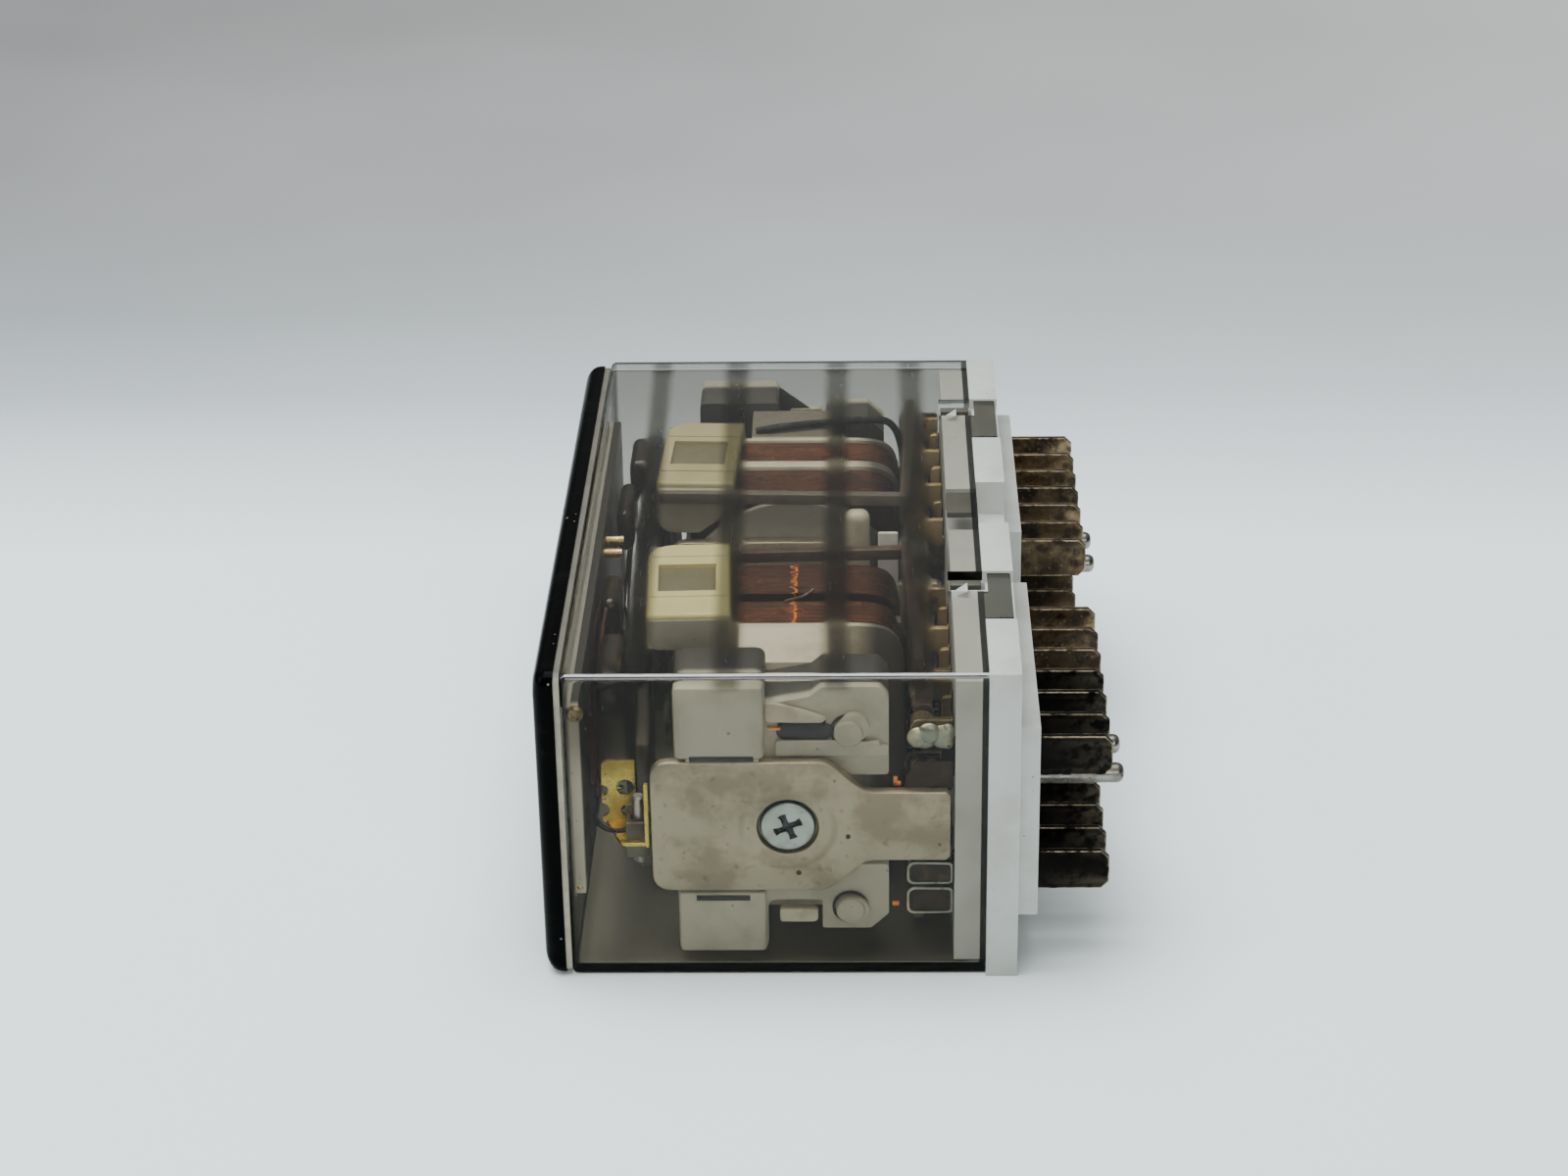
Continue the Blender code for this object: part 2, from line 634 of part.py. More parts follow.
def make_yokes(parent, unit):
    """Outer yoke with its sunk screw hole, and the inner yoke that carries the core."""
    outer = plate(f"outer_yoke_{unit}", [yoke_outline(YOKE_HALF)], YOKE_FRONT, YOKE_BACK, NICKEL, parent)
    axis = (AXIS_X, AXIS_Z)
    cut(outer, rod(f"sink_{unit}", SINK_RADIUS, YOKE_FRONT - 1.0, YOKE_FRONT + SINK_DEPTH, "Y", axis, None,
                   parent, cutter=True, sides=32))
    cut(outer, rod(f"screw_hole_{unit}", SCREW_SHANK + PIN_GAP, YOKE_FRONT, YOKE_BACK + 1.0, "Y", axis, None,
                   parent, cutter=True))
    inner = plate(f"core_and_inner_yoke_{unit}", [yoke_outline(INNER_YOKE_HALF)], INNER_YOKE_FRONT,
                  INNER_YOKE_BACK, NICKEL, parent)
    core = rod(f"core_{unit}", CORE_RADIUS, YOKE_BACK + FIT_GAP, INNER_YOKE_FRONT + 0.8, "Y", axis, None,
               parent, cutter=True, sides=28)
    fuse(inner, core)
    thread_end = YOKE_FRONT + SCREW_LENGTH + 1.0
    cut(inner, rod(f"thread_{unit}", SCREW_SHANK + PIN_GAP, YOKE_BACK - 1.0, thread_end, "Y", axis, None,
                   parent, cutter=True))


def make_core_screw(parent, unit):
    """Cross-head screw, turned from its profile, with the recess cut in its head."""
    screw_end = SCREW_HEAD_HEIGHT - SCREW_LENGTH
    profile = [(0.0, SCREW_HEAD_HEIGHT), (SCREW_HEAD * 0.6, SCREW_HEAD_HEIGHT * 0.95),
               (SCREW_HEAD - 0.25, SCREW_HEAD_HEIGHT * 0.7), (SCREW_HEAD, SCREW_HEAD_HEIGHT * 0.35),
               (SCREW_HEAD, 0.0), (SCREW_SHANK, 0.0), (SCREW_SHANK, screw_end + 0.5),
               (SCREW_SHANK - 0.5, screw_end), (0.0, screw_end)]
    mesh = bpy.data.meshes.new("core_screw")
    build = bmesh.new()
    corners = [build.verts.new((radius * MM, 0.0, height * MM)) for radius, height in profile]
    for first, second in zip(corners, corners[1:]):
        build.edges.new((first, second))
    build.to_mesh(mesh)
    build.free()
    screw = register(f"core_screw_{unit}", mesh, ZINC, parent)
    turn = screw.modifiers.new("turn", "SCREW")
    turn.steps = 28
    turn.render_steps = 28
    turn.use_merge_vertices = True
    turn.merge_threshold = 0.00001
    turn.use_smooth_shade = True
    screw.rotation_euler = (math.pi / 2, 0.0, 0.0)
    screw.location = (AXIS_X * MM, (YOKE_FRONT + SCREW_HEAD_HEIGHT) * MM, AXIS_Z * MM)
    wide, narrow = 1.75, 0.45
    cross = [(wide, narrow), (narrow, narrow), (narrow, wide), (-narrow, wide), (-narrow, narrow),
             (-wide, narrow), (-wide, -narrow), (-narrow, -narrow), (-narrow, -wide), (narrow, -wide),
             (narrow, -narrow), (wide, -narrow)]
    tilt = math.radians(18)
    turned = [(AXIS_X + across * math.cos(tilt) - up * math.sin(tilt),
               AXIS_Z + across * math.sin(tilt) + up * math.cos(tilt)) for across, up in cross]
    cut(screw, plate(f"recess_{unit}", [turned], YOKE_FRONT - 1.0, YOKE_FRONT + 0.6, None, parent,
                     cutter=True))


def coil_places():
    """Y spans of the outer winding, middle flange, inner winding and inner disc."""
    inner_back = INNER_YOKE_FRONT - FIT_GAP
    disc = (inner_back - END_FLANGE, inner_back)
    outer_start = COIL_FRONT + END_FLANGE + WINDING_GAP
    outer = (outer_start, outer_start + OUTER_WINDING)
    middle = (outer[1] + WINDING_GAP, outer[1] + WINDING_GAP + MIDDLE_FLANGE)
    inner = (middle[1] + WINDING_GAP, disc[0] - WINDING_GAP)
    return outer, middle, inner, disc


def make_coil(parent, unit):
    """Bobbin with a terminal collar, and the winding in its two chambers."""
    outer, middle, inner, disc = coil_places()
    tube = CORE_RADIUS + PIN_GAP + TUBE_WALL
    axis = (AXIS_X, AXIS_Z)
    collar = FRAME_BACK + FIT_GAP
    bobbin = rod(f"bobbin_{unit}", tube, collar, disc[1], "Y", axis, CREAM_PLASTIC, parent, sides=28)
    fuse(bobbin, box(f"collar_{unit}", (AXIS_X + COLLAR_FRONT_X, AXIS_X + COLLAR_REAR_X),
                     (collar + 0.1, COIL_FRONT + 0.4),
                     (AXIS_Z - COIL_HALF_Z + 0.1, AXIS_Z + COIL_HALF_Z - 0.1),
                     None, parent, cutter=True))
    fuse(bobbin, plate(f"outer_flange_{unit}", [coil_outline(COIL_HALF_X, COIL_HALF_Z)], COIL_FRONT,
                       COIL_FRONT + END_FLANGE, None, parent, cutter=True))
    clipped = COIL_HALF_Z - 3.4
    fuse(bobbin, plate(f"middle_flange_{unit}", [coil_outline(COIL_HALF_X, COIL_HALF_Z, clipped)], *middle,
                       None, parent, cutter=True))
    fuse(bobbin, plate(f"inner_flange_{unit}", [circle(AXIS_X, AXIS_Z, INNER_DISC, 40)], *disc, None, parent,
                       cutter=True))
    cut(bobbin, rod(f"bore_{unit}", CORE_RADIUS + PIN_GAP, collar - 1.0, disc[1] + 1.0, "Y", axis, None,
                    parent, cutter=True, sides=28))
    shape = coil_outline(COIL_HALF_X - WINDING_INSET, COIL_HALF_Z - WINDING_INSET)
    hole = circle(AXIS_X, AXIS_Z, tube + FIT_GAP, 28)
    winding = plate(f"winding_{unit}", [shape, hole], *outer, COPPER, parent)
    fuse(winding, plate(f"second_winding_{unit}", [shape, hole], *inner, None, parent, cutter=True))
    fuse(winding, box(f"crossing_{unit}", (AXIS_X - CROSSING_HALF, AXIS_X + CROSSING_HALF),
                      (outer[1] - 0.6, inner[0] + 0.6),
                      (AXIS_Z + clipped + FIT_GAP, AXIS_Z + COIL_HALF_Z - 1.1),
                      None, parent, cutter=True))


def make_contact_frames(parent, unit):
    """Grey moulded frames above and below the outer yoke, which clamp the coil's collar."""
    start = YOKE_EDGE + FRAME_START
    block = start + FRAME_BLOCK
    end = start + FRAME_LENGTH
    top = CASE_HEIGHT - WALL - FRAME_TOP_GAP
    bottom = WALL + FRAME_TOP_GAP
    over = AXIS_Z + CORE_RADIUS + 1.0
    under = AXIS_Z - CORE_RADIUS - 1.0
    shoulder = top - 0.9
    upper = rounded([(start, over, 0.5), (start, top, 1.5), (block, top, 1.0), (block, shoulder - 2.2, 0.3),
                     (block + 5.2, shoulder - 1.2, 0.8), (block + 6.6, shoulder, 0.6),
                     (end - 1.1, shoulder, 1.2), (end, shoulder - 1.4, 0.6), (end, over, 0.5)], steps=3)
    slot_low = over + 5.4
    slot = rounded([(block + 1.4, slot_low, 1.0), (block + 7.0, slot_low, 0.4),
                    (block + 7.0, slot_low + 2.2, 0.4), (block + 1.4, slot_low + 2.2, 1.0)], steps=3)
    frame = plate(f"upper_contact_frame_{unit}", [upper, slot], FRAME_FRONT, FRAME_BACK, GREY_PLASTIC,
                  parent)
    edge = AXIS_Z + YOKE_HALF + FIT_GAP
    fuse(frame, box(f"upper_block_{unit}", (start + 0.1, block - 0.1), (BLOCK_FACE, FRAME_FRONT + 1.0),
                    (edge, top - 0.1), None, parent, cutter=True, rounding=0.6))
    fuse(frame, rod(f"upper_boss_{unit}", BOSS_RADIUS, FRAME_FRONT - 0.9, FRAME_FRONT + 1.0, "Y",
                    (block + 10.2, slot_low + 1.1), None, parent, cutter=True, sides=16))
    notch_top = bottom + 6.3
    lower = rounded([(start, bottom, 0.8), (block, bottom, 0.4), (block, notch_top, 1.2),
                     (block + 6.4, notch_top, 0.3), (block + 6.4, bottom + 2.4, 0.3),
                     (end - 2.1, bottom + 2.4, 0.2), (end, bottom + 4.4, 0.2), (end, under, 0.5),
                     (start, under, 0.5)], steps=3)
    frame = plate(f"lower_contact_frame_{unit}", [lower], FRAME_FRONT, FRAME_BACK, GREY_PLASTIC, parent)
    edge = AXIS_Z - YOKE_HALF - FIT_GAP
    fuse(frame, box(f"lower_block_{unit}", (start + 0.1, block - 0.1), (BLOCK_FACE, FRAME_FRONT + 1.0),
                    (bottom + 0.1, edge), None, parent, cutter=True, rounding=0.6))
    fuse(frame, rod(f"lower_boss_{unit}", BOSS_RADIUS, FRAME_FRONT - 0.9, FRAME_FRONT + 1.0, "Y",
                    (block + 10.2, bottom + 5.2), None, parent, cutter=True, sides=16))


# ---------------------------------------------------------------- armature

def make_hinge(parent, unit):
    """Brass bracket on the outer yoke's front edge, and the pin that it holds."""
    edge = YOKE_EDGE - FIT_GAP
    face = (YOKE_FRONT + 0.6, YOKE_FRONT + 0.6 + SHEET)
    low, high = AXIS_Z - BRACKET_HALF, AXIS_Z + BRACKET_HALF
    sheet = rounded([(edge - BRACKET_WIDTH, low, 0.4), (edge - 0.1, low, 0.0), (edge - 0.1, high, 0.0),
                     (edge - BRACKET_WIDTH, high, 0.4)])
    window = rounded([(PIVOT_X - 0.6, AXIS_Z + 0.4, 0.2), (edge - 0.7, AXIS_Z + 0.4, 0.2),
                      (edge - 0.7, high - 1.3, 0.2), (PIVOT_X - 0.6, high - 1.3, 0.2)])
    holes = [circle(PIVOT_X - 2.3, AXIS_Z + side, 0.9, 14) for side in (3.4, -1.6)]
    bracket = plate(f"hinge_bracket_{unit}", [sheet, window, *holes], *face, BRASS, parent)
    fuse(bracket, box(f"bracket_edge_{unit}", (edge - SHEET, edge), (face[0] - 0.4, face[1] - 0.1),
                      (low + 0.1, high - 0.1), None, parent, cutter=True))
    ears = [(low + 0.05, low + SHEET), (high - SHEET, high - 0.05)]
    reach = (PIVOT_X - 1.8, edge - 0.2)
    ear_y = (face[1] - 0.2, PIVOT_Y + 1.5)
    fuse(bracket, boxes(f"ears_{unit}", [(reach, ear_y, ear) for ear in ears], parent))
    cut(bracket, rod(f"ear_hole_{unit}", PIN_RADIUS + PIN_GAP, low - 1.0, high + 1.0, "Z", (PIVOT_X, PIVOT_Y),
                     None, parent, cutter=True, sides=16))
    rod(f"hinge_pin_{unit}", PIN_RADIUS, AXIS_Z - PIN_HALF, AXIS_Z + PIN_HALF, "Z", (PIVOT_X, PIVOT_Y),
        STEEL, parent, sides=16)


def moved(x_span, y_span, z_span):
    """Spans in the armature's own frame, whose origin is on the hinge axis."""
    return (tuple(value - PIVOT_X for value in x_span), tuple(value - PIVOT_Y for value in y_span), z_span)


def make_armature(pivot, unit):
    """Iron plate with a knuckle round the hinge pin, drawn here in the closed position."""
    back = YOKE_EDGE - FIT_GAP
    front = back - ARMATURE_THICKNESS
    start = PIVOT_Y + KNUCKLE_HALF + 0.6
    spans = moved((front, back), (start, INNER_YOKE_BACK), (AXIS_Z - ARMATURE_HALF, AXIS_Z + ARMATURE_HALF))
    armature = box(f"armature_{unit}", *spans, NICKEL, pivot)
    low = AXIS_Z - BRACKET_HALF + SHEET + 0.4
    knuckle = moved((PIVOT_X - KNUCKLE_HALF, back - 0.1), (PIVOT_Y - KNUCKLE_HALF, start + 0.5),
                    (low, AXIS_Z - 0.2))
    fuse(armature, box(f"knuckle_{unit}", *knuckle, None, pivot, cutter=True))
    cut(armature, rod(f"knuckle_bore_{unit}", PIN_RADIUS + PIN_GAP, low - 1.0, AXIS_Z + 1.0, "Z", (0.0, 0.0),
                      None, pivot, cutter=True, sides=16))


def cap_heights():
    """Z of the caps' outer faces and of their inner faces over the coil, lower then upper."""
    lower = WALL + FLOOR_GAP
    upper = CASE_HEIGHT - WALL - 2 * FLOOR_GAP
    return lower, AXIS_Z - COIL_HALF_Z - COIL_GAP, upper, AXIS_Z + COIL_HALF_Z + COIL_GAP


def make_actuator(pivot, unit):
    """Cream carrier on the armature: a web in front of it and a cap over each side of the coil."""
    lower, lower_inner, upper, upper_inner = cap_heights()
    front = YOKE_EDGE - 1.2
    end = INNER_YOKE_FRONT - FIT_GAP - END_FLANGE
    cap_x = (front, front + CAP_LENGTH)
    cap_y = (CAP_FRONT, end)
    actuator = box(f"actuator_{unit}", *moved(cap_x, cap_y, (upper - CAP_HEIGHT, upper)), CREAM_PLASTIC,
                   pivot, rounding=0.4)
    fuse(actuator, box(f"lower_cap_{unit}", *moved(cap_x, cap_y, (lower, lower + CAP_HEIGHT + 0.4)), None,
                       pivot, cutter=True, rounding=0.4))
    web_back = YOKE_EDGE - FIT_GAP - ARMATURE_THICKNESS - FIT_GAP
    web_front = web_back - WEB_THICKNESS
    web_y = (WEB_START, WEB_END)
    column = front + 1.0
    outer_span = [(lower + 0.3, AXIS_Z - ARMATURE_HALF - 0.4), (AXIS_Z + ARMATURE_HALF + 0.4, upper - 0.3)]
    for side, z_span in zip(("lower", "upper"), outer_span):
        fuse(actuator, box(f"{side}_column_{unit}", *moved((web_front, column), web_y, z_span), None, pivot,
                           cutter=True))
    fuse(actuator, box(f"web_{unit}", *moved((web_front, web_back), (WEB_START + 0.2, WEB_END - 0.2),
                                             (AXIS_Z - ARMATURE_HALF - 1.0, AXIS_Z + ARMATURE_HALF + 1.0)),
                       None, pivot, cutter=True))
    pocket_x = (front + CAP_LIP, front + CAP_LENGTH + 1.0)
    pocket_y = (CAP_FRONT + CAP_SKIRT, end + 1.0)
    window_x = (front + 1.4, front + 8.5)
    window_y = (CAP_FRONT + 6.2, CAP_FRONT + 13.5)
    pockets = [(pocket_x, pocket_y, (lower_inner, lower + CAP_HEIGHT + 3.0)),
               (pocket_x, pocket_y, (upper - CAP_HEIGHT - 3.0, upper_inner)),
               (window_x, window_y, (lower - 1.0, lower + WINDOW_DEPTH)),
               (window_x, window_y, (upper - WINDOW_DEPTH, upper + 1.0))]
    cut(actuator, boxes(f"cap_pockets_{unit}", [moved(*spans) for spans in pockets], pivot))


def make_contact_cards(pivot, unit):
    """One card for each row: an arm past the coil's inner end, a crossbar, and two contact fingers."""
    contact_x, contact_z = contact_place()
    arm_front = YOKE_EDGE
    arm_y = (INNER_YOKE_FRONT - END_FLANGE, INNER_YOKE_FRONT - END_FLANGE + ARM_WIDTH)
    bar_x = (contact_x - FINGER_WIDTH / 2, contact_x - FINGER_WIDTH / 2 + CROSSBAR)
    commons = [sum(span) / 2 - contact_travel() / 2
               for span, role in zip(blade_spans(0.0), ROLES) if role == "common"]
    bar_y = (commons[0] - 1.2, arm_y[1])
    tongue_top = CASE_HEIGHT - BLADE_EDGE + TONGUE_RISE
    reach = INNER_DISC + COIL_GAP
    for row in ("upper", "lower"):
        material = BROWN_PLASTIC if row == "upper" else CREAM_PLASTIC
        arm_z = (AXIS_Z + reach, AXIS_Z + reach + ARM_HEIGHT)
        bar_z = (tongue_top + 1.2, tongue_top + 1.2 + CROSSBAR_HEIGHT)
        finger_z = (contact_z - RIVET_RADIUS - 0.2, tongue_top + 1.6)
        rivet_z = contact_z
        if row == "lower":
            arm_z = (AXIS_Z - reach - ARM_HEIGHT, AXIS_Z - reach)
            bar_z = (CASE_HEIGHT - bar_z[1] - AXIS_DROP / 2, CASE_HEIGHT - bar_z[0])
            finger_z = (CASE_HEIGHT - finger_z[1], CASE_HEIGHT - finger_z[0])
            rivet_z = CASE_HEIGHT - contact_z
        card = box(f"{row}_contact_card_{unit}", *moved(bar_x, bar_y, bar_z), material, pivot)
        fuse(card, box(f"{row}_arm_{unit}", *moved((arm_front, bar_x[1] - 0.2), arm_y, arm_z), None, pivot,
                       cutter=True))
        fingers = []
        for place in commons:
            fingers.append(moved((bar_x[0] + 0.1, bar_x[0] + FINGER_WIDTH),
                                 (place - FINGER_THICKNESS / 2, place + FINGER_THICKNESS / 2), finger_z))
        fuse(card, boxes(f"{row}_fingers_{unit}", fingers, pivot))
        for number, place in enumerate(commons):
            rivet = rod(f"{row}_rivet_{unit}_{number}", RIVET_RADIUS, place - RIVET_HALF - PIVOT_Y,
                        place + RIVET_HALF - PIVOT_Y, "Y", (contact_x - PIVOT_X, rivet_z), None, pivot,
                        cutter=True, sides=12)
            fuse(card, rivet)


def make_unit(parent, unit):
    """All pieces of one magnet unit, with its blades."""
    make_yokes(parent, unit)
    make_core_screw(parent, unit)
    make_coil(parent, unit)
    make_contact_frames(parent, unit)
    make_hinge(parent, unit)
    pivot = empty(f"armature_pivot_{unit}", (PIVOT_X, PIVOT_Y, 0.0), (0.0, 0.0, RELEASE_ANGLE), parent)
    make_armature(pivot, unit)
    make_actuator(pivot, unit)
    make_contact_cards(pivot, unit)
    make_blades(parent, unit)


def main():
    """Build the relay."""
    middle_x = (BLOCK_REAR + KEY_REACH) / 2
    relay = empty("relay", (-middle_x, -CASE_LENGTH / 2, 0.0))
    make_front_bezel(relay)
    make_cover(relay)
    make_base(relay)
    make_name_plate(relay)
    for unit in KEY_CENTRES:
        make_key_pins(relay, unit)
    unit_a = empty("unit_a", (0.0, 0.0, 0.0), parent=relay)
    unit_b = empty("unit_b", (0.0, CASE_LENGTH, CASE_HEIGHT), (math.pi, 0.0, 0.0), relay)
    make_unit(unit_a, "a")
    make_unit(unit_b, "b")


main()
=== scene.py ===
import json
import math

import bmesh
import bpy
from mathutils import Matrix, Vector


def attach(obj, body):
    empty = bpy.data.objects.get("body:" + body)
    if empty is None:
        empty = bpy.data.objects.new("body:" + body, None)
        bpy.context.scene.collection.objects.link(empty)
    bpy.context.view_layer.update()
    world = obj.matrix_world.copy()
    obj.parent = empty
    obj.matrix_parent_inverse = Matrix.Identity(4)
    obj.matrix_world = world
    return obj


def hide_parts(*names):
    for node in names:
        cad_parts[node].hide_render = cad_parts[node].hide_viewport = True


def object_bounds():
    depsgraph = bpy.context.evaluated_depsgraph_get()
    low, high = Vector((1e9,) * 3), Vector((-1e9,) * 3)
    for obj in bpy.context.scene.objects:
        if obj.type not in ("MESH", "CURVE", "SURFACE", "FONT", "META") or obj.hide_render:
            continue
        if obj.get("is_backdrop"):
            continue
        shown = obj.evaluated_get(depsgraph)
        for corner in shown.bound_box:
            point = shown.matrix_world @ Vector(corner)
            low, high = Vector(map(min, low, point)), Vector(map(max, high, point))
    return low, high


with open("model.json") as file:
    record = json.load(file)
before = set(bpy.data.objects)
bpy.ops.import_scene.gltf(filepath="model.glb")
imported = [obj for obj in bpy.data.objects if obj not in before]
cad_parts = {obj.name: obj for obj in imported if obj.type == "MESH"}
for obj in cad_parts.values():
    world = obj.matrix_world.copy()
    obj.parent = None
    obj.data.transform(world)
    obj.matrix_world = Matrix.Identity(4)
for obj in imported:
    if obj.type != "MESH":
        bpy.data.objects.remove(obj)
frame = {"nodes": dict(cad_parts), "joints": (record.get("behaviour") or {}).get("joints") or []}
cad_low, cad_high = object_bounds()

# Bench, lights and camera. The relay lies on a flat, seamless pale sheet,
# with grey shade painted behind it, under one large soft light and two weaker ones.
MM = 0.001
BENCH_HALF = 6.0
BENCH_DROP = 0.00004


def put(name, data):
    """Places a new object in the scene."""
    item = bpy.data.objects.new(name, data)
    bpy.context.scene.collection.objects.link(item)
    return item


def made(name, build):
    """Places a built shape in the scene."""
    mesh = bpy.data.meshes.new(name)
    build.to_mesh(mesh)
    build.free()
    return put(name, mesh)


sheet_build = bmesh.new()
bmesh.ops.create_grid(sheet_build, x_segments=24, y_segments=24, size=BENCH_HALF)
bmesh.ops.translate(sheet_build, vec=(0.0, 0.0, -BENCH_DROP), verts=sheet_build.verts)
bench_sheet = made("bench_sheet", sheet_build)
bench_sheet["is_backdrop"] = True


def plug(socket, source):
    """Links a source to a socket, or sets the socket where the source is a plain value."""
    if isinstance(source, bpy.types.NodeSocket):
        socket.id_data.links.new(source, socket)
    else:
        socket.default_value = source


def add(tree, kind, sources=None, **options):
    """Adds a node, sets its options and plugs its inputs, given by name or number."""
    node = tree.nodes.new(kind)
    for name, value in options.items():
        setattr(node, name, value)
    for name, source in (sources or {}).items():
        plug(node.inputs[name], source)
    return node


def join(kind, sources, **options):
    """Adds a node to the tree that holds its sources."""
    tree = next(source.id_data for source in sources.values() if isinstance(source, bpy.types.NodeSocket))
    return add(tree, kind, sources, **options)


def math_node(operation, *values):
    """One arithmetic step, as a socket."""
    return join("ShaderNodeMath", dict(enumerate(values)), operation=operation).outputs[0]


def times(first, second):
    """The product of two values."""
    return math_node("MULTIPLY", first, second)


def larger(first, second):
    """The larger of two values."""
    return math_node("MAXIMUM", first, second)


def apart(value, centre=None):
    """How far a value lies from a centre, or from zero."""
    return math_node("ABSOLUTE", value if centre is None else math_node("SUBTRACT", value, centre))


def ranged(value, low, high, start=0.0, end=1.0, smooth=True):
    """Maps a value from one span to another, with soft ends."""
    sources = dict(enumerate((value, low, high, start, end)))
    kind = "SMOOTHSTEP" if smooth else "LINEAR"
    return join("ShaderNodeMapRange", sources, interpolation_type=kind).outputs["Result"]


def mixed(mask, first, second):
    """Mixes two colours by a mask."""
    first, second = ((*colour, 1.0) if isinstance(colour, tuple) else colour for colour in (first, second))
    return join("ShaderNodeMix", {0: mask, 6: first, 7: second}, data_type="RGBA").outputs[2]


def layered(colour, *coats):
    """Lays colours over one another, each by its mask."""
    for mask, coat in coats:
        colour = mixed(mask, colour, coat)
    return colour


def place_of(tree):
    """The point on the piece, in the object's own coordinates."""
    return add(tree, "ShaderNodeTexCoord").outputs["Object"]


def axes(tree):
    """The same point as its X, Y and Z."""
    return add(tree, "ShaderNodeSeparateXYZ", {0: place_of(tree)}).outputs


def noise(tree, scale, detail=2.0, roughness=0.5):
    """Soft noise over the piece."""
    sources = {"Vector": place_of(tree), "Scale": scale, "Detail": detail, "Roughness": roughness}
    return add(tree, "ShaderNodeTexNoise", sources)


def new_finish(name, roughness, metallic=0.0, specular=0.5):
    """A material, its node tree and its Principled shader."""
    finish = bpy.data.materials.new(name)
    finish.use_nodes = True
    shader = finish.node_tree.nodes["Principled BSDF"]
    shader.inputs["Roughness"].default_value = roughness
    shader.inputs["Metallic"].default_value = metallic
    shader.inputs["Specular IOR Level"].default_value = specular
    return finish, finish.node_tree, shader


SHEET_NEAR = (0.83, 0.905, 0.925)
# Painted shade: the sheet's colour steps from pale near the relay to dark grey far behind it, darker on the
# left.
PAINTED_SHADE_STEPS = [(0.070, SHEET_NEAR, SHEET_NEAR), (0.102, (0.58, 0.645, 0.67), (0.63, 0.68, 0.71)),
    (0.130, (0.35, 0.385, 0.41), (0.50, 0.535, 0.555)),
    (0.165, (0.245, 0.265, 0.275), (0.415, 0.45, 0.45)),
    (0.213, (0.197, 0.200, 0.206), (0.385, 0.39, 0.395)),
    (0.330, (0.150, 0.150, 0.150), (0.38, 0.385, 0.38))]
# Painted shadow under the case, and painted shade in a wider soft ring round it.
SHADED = ((-0.0315, 0.0165), (-0.0455, 0.0455))
SHADE_RING = ((-0.054, 0.044), (-0.058, 0.072))
sheet_finish, tree, shader = new_finish("bench_sheet", 0.85)
across = axes(tree)
sideways = ranged(across["X"], -0.17, 0.17, smooth=False)
sheet_colour = SHEET_NEAR
for (start, _, _), (end, far_left, far_right) in zip(PAINTED_SHADE_STEPS, PAINTED_SHADE_STEPS[1:]):
    sheet_colour = mixed(ranged(across["Y"], start, end, smooth=False), sheet_colour,
        mixed(sideways, far_left, far_right))


def within(spans, soft):
    """A mask inside two spans along X and Y, with soft edges."""
    mask = 1.0
    for axis, (low, high) in zip("XY", spans):
        for edge, inside in ((low, soft), (high, -soft)):
            mask = times(mask, ranged(across[axis], edge, edge + inside))
    return mask


# The painted shadow under the case is lighter on the left; the ring of painted shade round it is at half
# strength.
painted_shadow_under_case = mixed(ranged(across["X"], -0.024, 0.004), (0.38, 0.385, 0.35), (0.13, 0.13, 0.115))
faded = ranged(noise(tree, 9.0).outputs["Fac"], 0.3, 0.7, 0.0, 0.05)
sheet_colour = layered(sheet_colour, (times(within(SHADE_RING, 0.022), 0.5), (0.50, 0.53, 0.535)),
    (within(SHADED, 0.002), painted_shadow_under_case), (faded, (1.0, 1.0, 1.0)))
plug(shader.inputs["Base Color"], sheet_colour)
bench_sheet.data.materials.append(sheet_finish)

world = bpy.data.worlds.new("studio")
bpy.context.scene.world = world
world.use_nodes = True
tree = world.node_tree
background = tree.nodes["Background"]
way = add(tree, "ShaderNodeSeparateXYZ", {0: add(tree, "ShaderNodeTexCoord").outputs["Generated"]}).outputs
low_sky = times(ranged(way["Z"], 0.42, 0.10), 0.8)
high_sky = ranged(way["Z"], 0.45, 0.95)
sky = layered((0.045, 0.048, 0.05), (ranged(way["Y"], -0.3, 0.7), (0.40, 0.42, 0.43)),
    (low_sky, (0.03, 0.03, 0.03)), (high_sky, (0.30, 0.32, 0.33)))
plug(background.inputs["Color"], sky)
background.inputs["Strength"].default_value = 1.0


def soft_light(name, place, target, size, power, colour):
    """A square soft light that faces a point."""
    data = bpy.data.lights.new(name, "AREA")
    data.shape = "RECTANGLE"
    data.size, data.size_y = size
    data.energy = power
    data.color = colour
    lamp = put(name, data)
    lamp.location = place
    lamp.rotation_mode = "QUATERNION"
    lamp.rotation_quaternion = (Vector(place) - Vector(target)).to_track_quat("Z", "Y")


soft_light("overhead_light", (-0.18, 0.06, 0.95), (0.0, 0.0, 0.0), (0.9, 0.8), 19.5, (0.955, 0.99, 1.0))
soft_light("left_light", (-0.85, -0.10, 0.42), (0.0, 0.0, 0.02), (0.4, 0.6), 2.6, (0.90, 0.96, 1.0))
soft_light("front_light", (0.20, -0.95, 0.55), (0.0, 0.0, 0.02), (0.8, 0.5), 4.2, (1.0, 0.99, 0.96))

CAMERA_PLACE = Vector((0.00360, -0.38289, 0.21790))
CAMERA_TURN, CAMERA_DROP, CAMERA_TILT = (math.radians(angle) for angle in (-1.52, 26.35, -0.94))
camera_data = bpy.data.cameras.new("camera")
camera_data.sensor_width = 36.0
camera_data.lens = 77.77
camera_data.clip_start = 0.01
camera = put("camera", camera_data)
bpy.context.scene.camera = camera
camera.matrix_world = (Matrix.Translation(CAMERA_PLACE) @ Matrix.Rotation(-CAMERA_TURN, 4, "Z")
    @ Matrix.Rotation(math.pi / 2 - CAMERA_DROP, 4, "X") @ Matrix.Rotation(CAMERA_TILT, 4, "Z"))

